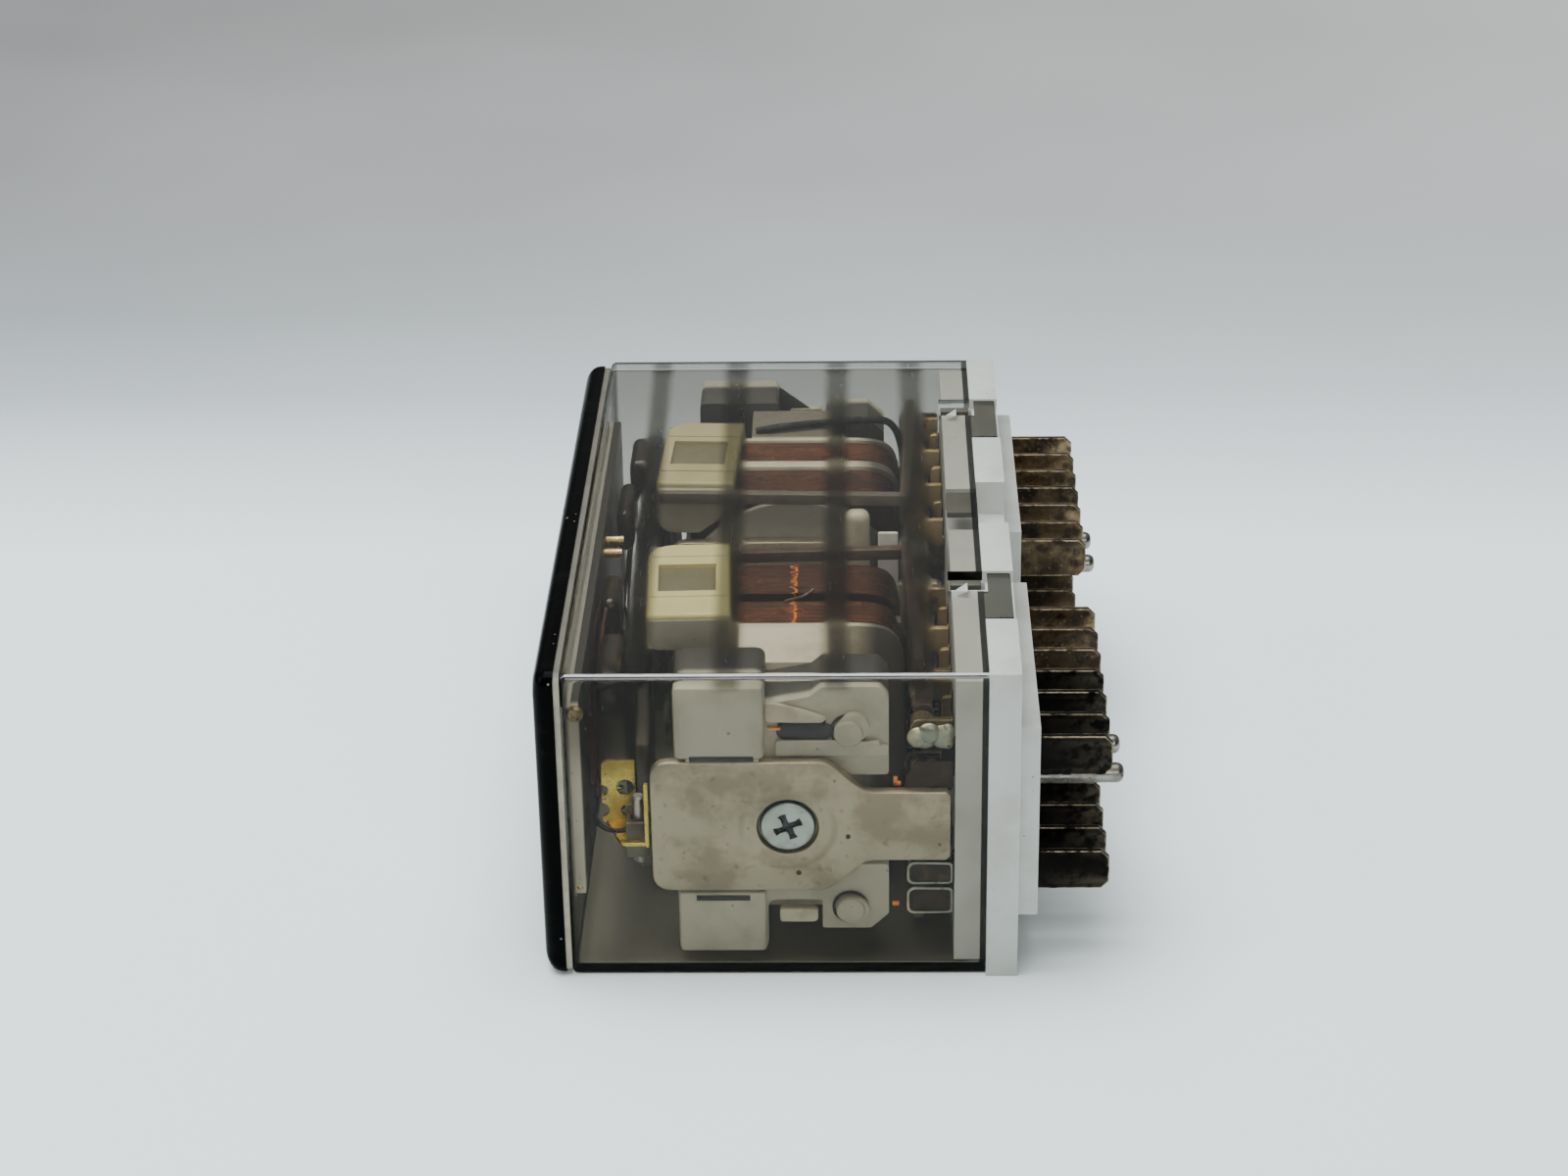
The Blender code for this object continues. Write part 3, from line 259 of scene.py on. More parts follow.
# Front ring. A gloss black moulding, pressed on the front of the clear case,
# whose window is left open. Its outer corners are well rounded.
CASE_LENGTH = (cad_high.y - cad_low.y) / MM
CASE_HEIGHT = (cad_high.z - cad_low.z) / MM
case = Matrix.Translation(cad_low) @ Matrix.Scale(MM, 4)
RING_DEPTH = 2.5
RING_BORDER = 5.7
RING_CORNER = 1.7
RING_ROUNDING = 1.9
WINDOW_CORNER = 0.8


def arcs(corners, steps=8):
    """Points of an outline from corners given as across, up and radius, with arcs at the corners."""
    points = []
    for index, (across, up, radius) in enumerate(corners):
        here = Vector((across, up))
        if radius <= 0.0:
            points.append(here)
            continue
        before = Vector(corners[index - 1][:2]) - here
        after = Vector(corners[(index + 1) % len(corners)][:2]) - here
        half = before.angle(after) / 2
        reach = min(radius / math.tan(half), before.length * 0.49, after.length * 0.49)
        inward = (before.normalized() + after.normalized()).normalized()
        centre = here + inward * (reach / math.cos(half))
        start = here + before.normalized() * reach - centre
        turn = start.angle_signed(here + after.normalized() * reach - centre)
        for step in range(steps + 1):
            points.append(centre + Matrix.Rotation(-turn * step / steps, 2) @ start)
    return points


def rectangle(across, up, radius, steps=8):
    """Rounded rectangle from its two spans."""
    (left, right), (low, high) = across, up
    return arcs([(*corner, radius) for corner in ((left, low), (right, low), (right, high),
        (left, high))], steps)


def soften(build, width, segments=3, angle=40.0, edges=None):
    """Rounds the edges that turn by more than an angle."""
    if edges is None:
        edges = [edge for edge in build.edges if edge.calc_face_angle(0.0) > math.radians(angle)]
    bmesh.ops.bevel(build, geom=edges, offset=width, segments=segments, profile=0.5, affect="EDGES",
        material=-1, clamp_overlap=True)


def fit(build, name, place, finish, stands_for=(), body="relay_frame", smooth=35.0, recalculate=True):
    """Places a built shape, gives it its finish and puts it on its body."""
    if recalculate:
        bmesh.ops.recalc_face_normals(build, faces=build.faces)
    bmesh.ops.transform(build, matrix=place, verts=build.verts)
    piece = made(name, build)
    piece.data.shade_smooth()
    piece.data.set_sharp_from_angle(angle=math.radians(smooth))
    piece.data.materials.append(finish)
    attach(piece, body)
    if stands_for:
        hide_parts(*stands_for)
    return piece


def effect(name, inputs, output="Mask"):
    """An empty node group for an effect that several finishes share."""
    group = bpy.data.node_groups.new(name, "ShaderNodeTree")
    for socket, value in inputs.items():
        kind = "NodeSocketVector" if isinstance(value, tuple) else "NodeSocketFloat"
        group.interface.new_socket(socket, in_out="INPUT", socket_type=kind).default_value = value
    group.interface.new_socket(output, in_out="OUTPUT", socket_type="NodeSocketFloat")
    return group, add(group, "NodeGroupInput").outputs, add(group, "NodeGroupOutput").inputs[0]


def use(tree, group, *values):
    """Places an effect in a material, with values for its inputs, and returns its output."""
    node = add(tree, "ShaderNodeGroup", node_tree=group)
    for socket, value in zip(node.inputs, values):
        plug(socket, value)
    return node.outputs[0]


mottle, given, result = effect("mottle", {"Scale": 300.0, "Low": 0.4, "High": 0.6,
    "Stretch": (1.0, 1.0, 1.0)})
stretched = add(mottle, "ShaderNodeMapping", {"Vector": place_of(mottle), "Scale": given["Stretch"]})
cloud = noise(mottle, given["Scale"], 6.0, 0.62)
plug(cloud.inputs["Vector"], stretched.outputs[0])
plug(result, ranged(cloud.outputs["Fac"], given["Low"], given["High"]))

specks, given, result = effect("specks", {"Scale": 900.0, "Share": 0.3, "Size": 0.25})
cells = add(specks, "ShaderNodeTexVoronoi", {"Vector": place_of(specks), "Scale": given["Scale"]})
chance = add(specks, "ShaderNodeSeparateColor", {0: cells.outputs["Color"]})
chosen = math_node("LESS_THAN", chance.outputs[0], given["Share"])
size_here = times(given["Size"], math_node("ADD", chance.outputs[1], 0.3))
dot = ranged(cells.outputs["Distance"], times(size_here, 0.6), size_here, 1.0, 0.0)
plug(result, times(dot, chosen))

grain, given, result = effect("grain", {"Scale": 5000.0}, "Height")
plug(result, noise(grain, given["Scale"]).outputs["Fac"])

# Rubbed edges, coloured apart from the face; on the blades and yokes this also serves as a painted
# highlight.
worn_and_glinting_edges, given, result = effect("worn_and_glinting_edges", {"Width": 0.0002, "Amount": 1.0})
rounded_normal = add(worn_and_glinting_edges, "ShaderNodeBevel", {"Radius": given["Width"]}, samples=4).outputs[0]
true_normal = add(worn_and_glinting_edges, "ShaderNodeNewGeometry").outputs["True Normal"]
alike = join("ShaderNodeVectorMath", {0: rounded_normal, 1: true_normal}, operation="DOT_PRODUCT")
edge_here = ranged(alike.outputs["Value"], 0.985, 0.80)
uneven = ranged(noise(worn_and_glinting_edges, 900.0).outputs["Fac"], 0.35, 0.6)
plug(result, times(times(edge_here, uneven), given["Amount"]))


def bump(shader, height, depth):
    """Raises the surface by a height in metres."""
    node = join("ShaderNodeBump", {"Strength": 1.0, "Distance": depth, "Height": height})
    plug(shader.inputs["Normal"], node.outputs[0])


def surface(shader, colour, mask, roughness, height, depth):
    """Sets a finish's colour, its roughness from one value to another along a mask, and its relief."""
    plug(shader.inputs["Base Color"], colour)
    plug(shader.inputs["Roughness"], ranged(mask, 0.0, 1.0, *roughness))
    bump(shader, height, depth)


ring_finish, tree, shader = new_finish("ring_black", 0.2, specular=0.02)
scuffs = use(tree, mottle, 420.0, 0.52, 0.72, (0.4, 1.0, 1.0))
dust = use(tree, specks, 900.0, 0.12, 0.16)
colour = layered((0.001, 0.001, 0.001), (scuffs, (0.003, 0.003, 0.003)), (dust, (0.16, 0.16, 0.15)))
surface(shader, colour, scuffs, (0.17, 0.34), use(tree, grain, 900.0), 0.00001)


def ring(profile):
    """A ring round the front of the case, from a closed profile of insets, depths and corner radii."""
    build = bmesh.new()
    loops = []
    for inset, depth, radius in profile:
        outline = rectangle((inset, CASE_LENGTH - inset), (inset, CASE_HEIGHT - inset), radius)
        loops.append([build.verts.new((depth, across, up)) for across, up in outline])
    for loop, following in zip(loops, loops[1:] + loops[:1]):
        for index in range(len(loop)):
            build.faces.new((loop[index - 1], loop[index], following[index], following[index - 1]))
    bmesh.ops.recalc_face_normals(build, faces=build.faces)
    return build


rounded_front = [(RING_ROUNDING * (1 - math.sin(turn)), RING_ROUNDING * (1 - math.cos(turn)), RING_CORNER)
    for turn in (math.radians(15 * step) for step in range(6, -1, -1))]
build = ring([(0.0, RING_DEPTH, RING_CORNER), *rounded_front,
    (RING_BORDER - 0.3, 0.0, WINDOW_CORNER + 0.1), (RING_BORDER - 0.08, 0.08, WINDOW_CORNER),
    (RING_BORDER, 0.3, WINDOW_CORNER), (RING_BORDER, RING_DEPTH, WINDOW_CORNER)])
fit(build, "front_ring", case, ring_finish, ["front_bezel"])

# Front seal. A thin cream band that shows as a pale line between the black
# ring and the clear case.
SEAL = (RING_DEPTH + 0.02, RING_DEPTH + 0.68)
seal_finish, tree, shader = new_finish("seal_cream", 0.5)
aged = use(tree, mottle, 260.0, 0.35, 0.7)
# The seal is darker along its top stretch.
darker_along_top = ranged(axes(tree)["Z"], 0.0392, 0.0396, 0.0, 0.8)
cream = layered((0.38, 0.35, 0.27), (aged, (0.24, 0.22, 0.165)), (darker_along_top, (0.04, 0.038, 0.032)))
plug(shader.inputs["Base Color"], cream)
bump(shader, use(tree, grain, 3000.0), 0.00002)
SEAL_PROFILE = [(0.25, SEAL[0]), (0.25, SEAL[1]), (1.3, SEAL[1]), (1.3, SEAL[0])]
fit(ring([(inset, depth, 1.4) for inset, depth in SEAL_PROFILE]), "front_seal", case, seal_finish)

# Clear case. One polished, smoke-tinted moulding, rounded outside, then
# hollowed from the back, with a raised window at the front, four tabs that
# reach over the base and four slots for its hooks.
CASE_FRONT = 3.2
FRONT_WALL = 0.4
CASE_REAR = 51.85
WALL = 1.2
CASE_ROUNDING = 0.8
WINDOW_RISE = 2.4
UNIT_STARTS = (0.0, 52.0)
TAB_PLACE = (14.2, 26.2)
SLOT_PLACE = (21.1, 26.4)
SMOKE = (0.59, 0.575, 0.535)
# Bands across the top of the case: rougher glass, with a painted dark reflection in the tint.
DARK_REFLECTION_TINT = (0.21, 0.205, 0.18)
# Painted shade: a near-black tint for the case's edges and dark lines.
PAINTED_EDGE_SHADE = (0.05, 0.05, 0.045)
HAZE_AND_REFLECTION_BANDS = [(10.4, 11.9, 2.0), (20.6, 22.1, 2.4), (34.2, 34.5, 2.3), (44.1, 43.95, 2.4)]


def block(build, *spans):
    """Adds a box, given by its spans along X, Y and Z, and returns its corners."""
    size = [abs(high - low) for low, high in spans]
    middle = [(high + low) / 2 for low, high in spans]
    matrix = Matrix.Translation(middle) @ Matrix.Diagonal((*size, 1.0))
    return bmesh.ops.create_cube(build, size=1.0, matrix=matrix)["verts"]


def boxes(spans, width, segments=3):
    """A new shape of boxes with rounded edges."""
    build = bmesh.new()
    for span in spans:
        block(build, *span)
    soften(build, width, segments)
    return build


def settle(piece):
    """Applies a piece's modifiers to its mesh."""
    graph = bpy.context.evaluated_depsgraph_get()
    mesh = bpy.data.meshes.new_from_object(piece.evaluated_get(graph))
    piece.modifiers.clear()
    piece.data = mesh


def carve(piece, build, place, operation="DIFFERENCE"):
    """Cuts a built shape out of a piece, or joins it on."""
    bmesh.ops.recalc_face_normals(build, faces=build.faces)
    bmesh.ops.transform(build, matrix=place, verts=build.verts)
    tool = made("tool", build)
    boolean = piece.modifiers.new("carve", "BOOLEAN")
    boolean.operation = operation
    boolean.object = tool
    settle(piece)
    bpy.data.objects.remove(tool)
    piece.data.shade_smooth()
    piece.data.set_sharp_from_angle(angle=math.radians(35.0))
    flat = piece.modifiers.new("flat", "WEIGHTED_NORMAL")
    flat.keep_sharp = True
    settle(piece)


# A band across the case's top, where the tint takes a painted dark reflection and the glass is rougher.
haze_and_reflection_band, given, result = effect("haze_and_reflection_band", {"Far": 0.0, "Near": 0.0, "Half": 0.002})
spot = axes(haze_and_reflection_band)
along = ranged(spot["Y"], -0.046, 0.046, given["Near"], given["Far"], smooth=False)
off_line = apart(spot["X"], along)
band = ranged(off_line, times(given["Half"], 0.25), given["Half"], 1.0, 0.0)
plug(result, times(band, ranged(spot["Z"], 0.0375, 0.0385)))


def deep(depth):
    """World X of a depth behind the ring's face."""
    return cad_low.x + depth * MM


def distance(place, point):
    """How far a place is from a point."""
    return join("ShaderNodeVectorMath", {0: place, 1: point}, operation="DISTANCE").outputs["Value"]


cover_finish, tree, shader = new_finish("smoky_clear", 0.02)
# A round patch at the front top corner, rougher and darker.
dark_blurred_corner = ranged(distance(place_of(tree), case @ Vector((9.5, 0.0, 33.0))), 0.001, 0.0095, 0.95, 0.0)
haze_and_reflection = 0.0
for far, near, half in HAZE_AND_REFLECTION_BANDS:
    haze_and_reflection = larger(haze_and_reflection, use(tree, haze_and_reflection_band, deep(far), deep(near), half * MM))
haze_and_reflection = larger(haze_and_reflection, dark_blurred_corner)
smears = use(tree, mottle, 70.0, 0.5, 0.75, (1.0, 0.5, 1.0))
scratches = use(tree, mottle, 260.0, 0.66, 0.70, (9.0, 0.35, 1.0))
fluff = use(tree, specks, 500.0, 0.10, 0.10)
spot = axes(tree)
off_middle = apart(spot["Y"])
# Painted shade on the front of the case near its two sides.
painted_shade_front_corners = times(ranged(spot["X"], deep(3.9), deep(4.2), 0.62, 0.0), ranged(off_middle, 0.0430, 0.0445))
# Painted shade: the edges tint near black, as an edge seen along its thickness looks, with a shadow line at
# the rear where the case meets the flange and dark lines on the far top edge and far wall.
from_side = ranged(off_middle, 0.0453, 0.0457)
from_top = ranged(apart(spot["Z"], 0.02), 0.0193, 0.0197)
from_front = ranged(spot["X"], deep(3.9), deep(3.6))
from_rear = ranged(spot["X"], deep(51.55), deep(51.75))
near_top = times(from_side, from_top)
upright = larger(near_top, times(from_side, from_front))
painted_dark_edges = larger(upright, times(larger(from_front, from_rear), from_top))
rear_edge = ranged(apart(spot["X"], deep(51.5)), 0.00036, 0.00044, 1.0, 0.0)
far_edge = times(from_top, ranged(spot["Y"], 0.0449, 0.0451))
far_wall = times(from_top, ranged(spot["Y"], 0.0422, 0.0438, 0.0, 0.82))
painted_dark_lines = larger(rear_edge, larger(far_edge, far_wall))
tint = layered(SMOKE, (haze_and_reflection, DARK_REFLECTION_TINT), (times(dark_blurred_corner, 0.3), (0.16, 0.15, 0.125)),
    (times(scratches, 0.25), (0.95, 0.95, 0.93)), (fluff, (0.25, 0.25, 0.24)),
    (painted_shade_front_corners, (0.10, 0.10, 0.09)), (larger(painted_dark_edges, painted_dark_lines), PAINTED_EDGE_SHADE))
plug(shader.inputs["Base Color"], tint)
cloudy = larger(times(haze_and_reflection, 0.262), times(smears, 0.035))
plug(shader.inputs["Roughness"], math_node("ADD", cloudy, times(scratches, 0.08)))
shader.inputs["IOR"].default_value = 1.2
plug(shader.inputs["Coat Weight"], times(near_top, ranged(spot["Y"], -0.030, -0.042)))
shader.inputs["Coat Roughness"].default_value = 0.2
shader.inputs["Coat IOR"].default_value = 2.2
shader.inputs["Transmission Weight"].default_value = 1.0
bump(shader, use(tree, grain, 70.0), 0.00006)
passing = add(tree, "ShaderNodeBsdfTransparent", {"Color": (0.93, 0.92, 0.895, 1.0)})
ray = add(tree, "ShaderNodeLightPath").outputs
unseen = larger(ray["Is Shadow Ray"], ray["Is Diffuse Ray"])
choice = add(tree, "ShaderNodeMixShader", {0: unseen, 1: shader.outputs[0], 2: passing.outputs[0]})
plug(tree.nodes["Material Output"].inputs["Surface"], choice.outputs[0])

build = bmesh.new()
block(build, (CASE_FRONT, CASE_REAR), (0.0, CASE_LENGTH), (0.0, CASE_HEIGHT))
front = [face for face in build.faces if face.normal.x < -0.9]
bmesh.ops.inset_region(build, faces=front, thickness=RING_BORDER + 0.3, use_even_offset=True)
raised = bmesh.ops.extrude_discrete_faces(build, faces=front)["faces"][0]
bmesh.ops.translate(build, vec=(-WINDOW_RISE, 0.0, 0.0), verts=raised.verts)
bmesh.ops.recalc_face_normals(build, faces=build.faces)
turning = [edge for edge in build.edges if edge.calc_face_angle(0.0) > math.radians(40.0)
    and any(vert.co.x < CASE_REAR - 0.01 for vert in edge.verts)]
far = [edge for edge in turning if all(vert.co.y > CASE_LENGTH - 0.01 for vert in edge.verts)]
soften(build, CASE_ROUNDING, 6, edges=[edge for edge in turning if edge not in far])
soften(build, 0.15, 3, edges=[edge for edge in far if edge.is_valid])
clear_case = fit(build, "clear_case", case, cover_finish, ["cover"], smooth=50.0)
for depth, border in (((CASE_FRONT + FRONT_WALL, CASE_REAR + 3.0), WALL),
        ((CASE_FRONT - WINDOW_RISE + WALL, CASE_FRONT + 1.0), RING_BORDER + 0.3 + WALL)):
    hollow = boxes([(depth, (border, CASE_LENGTH - border), (border, CASE_HEIGHT - border))], 0.25)
    carve(clear_case, hollow, case)
tabs = []
slots = bmesh.new()
for start in UNIT_STARTS:
    tab_span, slot_span = ((start + near, start + far) for near, far in (TAB_PLACE, SLOT_PLACE))
    for heights in ((CASE_HEIGHT - WALL, CASE_HEIGHT - 0.05), (0.05, WALL)):
        tabs.append(((CASE_REAR - 0.4, CASE_REAR + 3.35), tab_span, heights))
    for heights in ((CASE_HEIGHT - 2 * WALL, CASE_HEIGHT + WALL), (-WALL, 2 * WALL)):
        block(slots, (47.7, CASE_REAR + 0.5), slot_span, heights)
carve(clear_case, boxes(tabs, 0.25), case, "UNION")
carve(clear_case, slots, case)

# Base. A satin white moulding: a flange with a raised block for each unit, an
# inner tier that closes the case, hooks that snap into the case's slots, and a
# slot for each blade.


def refined(node, name, finish, width, segments=2, body="relay_frame"):
    """A node's own shape, merged, with its edges softened."""
    build = bmesh.new()
    build.from_mesh(frame["nodes"][node].data)
    bmesh.ops.remove_doubles(build, verts=build.verts, dist=0.000005)
    bmesh.ops.dissolve_limit(build, angle_limit=math.radians(0.5), verts=build.verts, edges=build.edges)
    soften(build, width * MM, segments)
    return fit(build, name, Matrix.Identity(4), finish, [node], body=body, recalculate=False)


def from_sides(spot):
    """How far a place lies inward from the nearer side of the case."""
    return math_node("SUBTRACT", CASE_LENGTH / 2 * MM, apart(spot["Y"]))


def moulded(name, colour, stain, roughness, stain_scale, edge=None, speck=None, share=0.25, lit_depth=None,
        lit_front=0.0):
    """Satin moulding: clouded stains, rubbed edges, specks and fine grain, with painted shade far from the
    sides.
    """
    finish, tree, shader = new_finish(name, roughness)
    clouds = use(tree, mottle, stain_scale, 0.42, 0.68)
    tone = mixed(clouds, colour, stain)
    if edge:
        tone = mixed(use(tree, worn_and_glinting_edges, 0.00025, 0.6), tone, edge)
    if speck:
        tone = mixed(use(tree, specks, 1100.0, share, 0.16), tone, speck)
    # Painted shade: dark deeper in than lit_depth from the case's sides, behind lit_front.
    if lit_depth:
        spot = axes(tree)
        painted_dusk_shade = ranged(from_sides(spot), lit_depth * MM, (lit_depth + 1.2) * MM, 0.0, 0.94)
        behind = ranged(spot["X"], deep(lit_front), deep(lit_front + 0.1))
        tone = mixed(times(painted_dusk_shade, behind), tone, (0.012, 0.011, 0.009))
    surface(shader, tone, clouds, (roughness, roughness + 0.14), use(tree, grain, 2600.0), 0.000012)
    return finish


FLANGE_FRONT = 51.0
FLANGE_GAP = 0.02
base_finish = moulded("base_white", (0.465, 0.48, 0.445), (0.385, 0.385, 0.34), 0.36, 90.0,
    (0.62, 0.62, 0.60), (0.22, 0.18, 0.13), 0.10)
plug_base = refined("base", "plug_base", base_finish, 0.36, 3)
for vertex in plug_base.data.vertices:
    depth = (vertex.co.x - cad_low.x) / MM
    if FLANGE_FRONT - 0.3 < depth < FLANGE_FRONT + 0.45:
        vertex.co.x += (CASE_REAR + FLANGE_GAP - FLANGE_FRONT) * MM

# Painted shade: dark boxes in the tier's recess between the units and just beyond the hooks.
shade_gaps = [((48.05, 51.7), (44.4, 50.4))]
shade_gaps += [((48.0, 51.7), (start + 25.2, start + 27.1)) for start in UNIT_STARTS]
gap_finish = moulded("gap_shade", (0.06, 0.058, 0.045), (0.045, 0.043, 0.034), 0.5, 200.0)
fit(boxes([(*gap, (38.0, 38.76)) for gap in shade_gaps], 0.1, 2), "tier_gap_shade", case, gap_finish)

# Name plate. A blank cream plate behind the front window, held by an eyelet
# at its upper end and a small rivet at its lower end.
PLATE = ((3.68, 5.1), (2.2, CASE_LENGTH - 10.0), (10.2, 35.0))
# The plate is painted into shade deeper than 2.6 mm in from the case's sides, behind its front face.
plate_finish = moulded("plate_cream", (0.52, 0.49, 0.40), (0.42, 0.39, 0.31), 0.4, 130.0,
    (0.66, 0.63, 0.52), (0.30, 0.27, 0.2), lit_depth=2.6, lit_front=PLATE[0][0] + 0.4)
build = bmesh.new()
block(build, *PLATE)
face = [face for face in build.faces if face.normal.x < -0.9]
bmesh.ops.inset_region(build, faces=face, thickness=1.2)
bmesh.ops.translate(build, vec=(0.25, 0.0, 0.0), verts=list({v for f in face for v in f.verts}))
soften(build, 0.18)
fit(build, "blank_plate", case, plate_finish, ["name_plate"])


def metal(name, colour, stain, roughness, stain_scale, edge=None, speck=None, share=0.3,
        stretch=(1.0, 1.0, 1.0)):
    """Plated or bare metal with stains, rubbed edges, specks and brushed lines."""
    finish, tree, shader = new_finish(name, roughness, 1.0)
    clouds = use(tree, mottle, stain_scale, 0.42, 0.64)
    tone = mixed(clouds, colour, stain)
    if speck:
        tone = mixed(use(tree, specks, 1300.0, share, 0.3), tone, speck)
    if edge:
        tone = mixed(use(tree, worn_and_glinting_edges, 0.0002), tone, edge)
    lines = use(tree, mottle, 2500.0, 0.3, 0.7, stretch)
    plug(shader.inputs["Base Color"], tone)
    uneven = math_node("ADD", times(clouds, 0.16), times(lines, 0.06))
    plug(shader.inputs["Roughness"], math_node("ADD", uneven, roughness))
    bump(shader, lines, 0.000004)
    return finish


def turned(build, profile, centre, axis="Y", steps=40):
    """Spins a profile of radius and length into a closed round piece."""
    before = set(build.verts)
    corners = [build.verts.new((radius, 0.0, along)) for radius, along in profile]
    edges = [build.edges.new(pair) for pair in zip(corners, corners[1:])]
    bmesh.ops.spin(build, geom=corners + edges, axis=(0.0, 0.0, 1.0), angle=math.tau,
        steps=steps, use_merge=True)
    bmesh.ops.remove_doubles(build, verts=[vert for vert in build.verts if vert not in before], dist=0.0005)
    turns = {"X": Matrix.Rotation(math.pi / 2, 4, "Y"), "Y": Matrix.Rotation(-math.pi / 2, 4, "X"),
        "Z": Matrix.Identity(4)}
    bmesh.ops.transform(build, matrix=Matrix.Translation(centre) @ turns[axis],
        verts=[vert for vert in build.verts if vert not in before])


gilt = metal("gilt_brass", (0.80, 0.62, 0.30), (0.50, 0.36, 0.16), 0.2, 600.0, (0.9, 0.75, 0.45))
build = bmesh.new()
turned(build, [(0.5, 0.0), (0.5, 0.4), (0.75, 0.5), (0.98, 0.34), (0.98, 0.0), (0.5, 0.0)],
    (4.7, 2.2, 34.2), "Y", 28)
bmesh.ops.scale(build, vec=(1.0, -1.0, 1.0), space=Matrix.Translation((0.0, -2.2, 0.0)), verts=build.verts)
turned(build, [(0.0, -0.28), (0.22, -0.22), (0.36, 0.0), (0.0, 0.0)], (4.4, 2.2, 11.0), "Y", 20)
fit(build, "plate_eyelet", case, gilt)

# Key pins. Two nickel-plated steel pins for each unit, moulded into the base,
# longer than the blades, so that the relay enters its socket one way only.
PIN_RADIUS = 1.2
PIN_SPACING = 7.0
PIN_ROOT = 48.6
PIN_TIP = 68.4
PIN_CENTRES = {"a": 16.5, "b": 73.0}
pin_finish = metal("pin_nickel", (0.26, 0.245, 0.215), (0.15, 0.135, 0.11), 0.22, 300.0, (0.5, 0.48, 0.43),
    (0.08, 0.06, 0.05), 0.12, stretch=(0.2, 3.0, 3.0))
for unit, centre in PIN_CENTRES.items():
    build = bmesh.new()
    for side in (-1, 1):
        length = PIN_TIP - PIN_ROOT
        turned(build, [(0.0, 0.0), (PIN_RADIUS, 0.0), (PIN_RADIUS, length - 0.85),
            (PIN_RADIUS * 0.93, length - 0.5), (PIN_RADIUS * 0.74, length - 0.2),
            (PIN_RADIUS * 0.4, length - 0.05), (0.0, length)],
            (PIN_ROOT, centre + side * PIN_SPACING / 2, CASE_HEIGHT / 2), "X", 36)
    block(build, (PIN_ROOT + 0.1, PIN_ROOT + 1.6), (centre - PIN_SPACING / 2, centre + PIN_SPACING / 2),
        (CASE_HEIGHT / 2 - 0.8, CASE_HEIGHT / 2 + 0.8))
    fit(build, f"key_pins_{unit}_nickel", case, pin_finish, [f"key_pins_{unit}"])

# Blades. Flat bronze plug blades, pressed from 0.8 mm strip with chamfered
# tips, tarnished brown to black and speckled, darker at the near end and low
# down, with bright rubbed edges that are partly a painted highlight. Each
# runs through its slot in the base to a tongue that carries a contact.
blade_finish, tree, shader = new_finish("blade_patina", 0.4, 1.0, 0.05)
spot = axes(tree)
patches = use(tree, mottle, 330.0, 0.40, 0.62)
dark_patches = use(tree, mottle, 90.0, 0.36, 0.60)
dots = use(tree, specks, 1500.0, 0.55, 0.32)
blooms = use(tree, specks, 620.0, 0.35, 0.36)
# Lighter towards the far end and the top, near black at the near end and low down.
lighter_toward_far = ranged(spot["Y"], -0.034, 0.004)
higher = ranged(spot["Z"], 0.019, 0.021)
bare = mixed(times(lighter_toward_far, higher), (0.10, 0.066, 0.036), (0.19, 0.135, 0.075))
darkest_near_and_low = larger(ranged(spot["Y"], -0.0262, -0.0258, 0.98, 0.0),
    times(math_node("SUBTRACT", 1.0, higher), ranged(spot["Y"], -0.036, -0.034, 0.97, 0.15)))
tongue = times(times(ranged(spot["X"], 0.0140, 0.0137), ranged(spot["Z"], 0.0285, 0.0300)),
    ranged(spot["Y"], -0.036, -0.022, 0.2, 1.0))
# The rubbed edges are brightened partly as a painted highlight.
tone = layered(bare, (patches, (0.040, 0.030, 0.022)), (times(dark_patches, 0.75), (0.012, 0.010, 0.009)),
    (times(dots, 0.6), (0.15, 0.115, 0.07)), (times(blooms, 0.6), (0.02, 0.016, 0.013)),
    (darkest_near_and_low, (0.003, 0.0028, 0.0026)), (tongue, (0.46, 0.34, 0.16)),
    (use(tree, worn_and_glinting_edges, 0.00022), (0.85, 0.70, 0.48)))
plug(shader.inputs["Metallic"], ranged(dark_patches, 0.0, 1.0, 1.0, 0.6))
relief = math_node("ADD", dots, times(patches, 0.4))
surface(shader, tone, larger(patches, dark_patches), (0.26, 0.52), relief, 0.000012)
for node in sorted(name for name in frame["nodes"] if name.startswith("blade_")):
    refined(node, node.replace("blade", "plug_blade", 1), blade_finish, 0.1)

# Solder on the inner ends of the blades. Cream flux over a blob of tin on one
# tongue of each unit, dark varnish on its neighbours, with raised rims round
# the varnished tags.
units = {"a": case, "b": case @ Matrix.Translation((0.0, CASE_LENGTH, CASE_HEIGHT))
    @ Matrix.Rotation(math.pi, 4, "X")}
solder_finish = metal("tinned_flux", (0.30, 0.32, 0.27), (0.62, 0.58, 0.40), 0.3, 420.0, None,
    (0.13, 0.10, 0.05), 0.35)
varnish_finish, tree, shader = new_finish("brown_varnish", 0.16, specular=0.2)
drips = use(tree, mottle, 520.0, 0.35, 0.7)
varnish = mixed(drips, (0.014, 0.009, 0.006), (0.045, 0.027, 0.014))
surface(shader, varnish, drips, (0.12, 0.3), drips, 0.00006)


def thicken(build, faces, offset):
    """Extrudes faces by an offset and returns the new corners."""
    raised = bmesh.ops.extrude_face_region(build, geom=faces)["geom"]
    far = [item for item in raised if isinstance(item, bmesh.types.BMVert)]
    bmesh.ops.translate(build, vec=offset, verts=far)
    return far


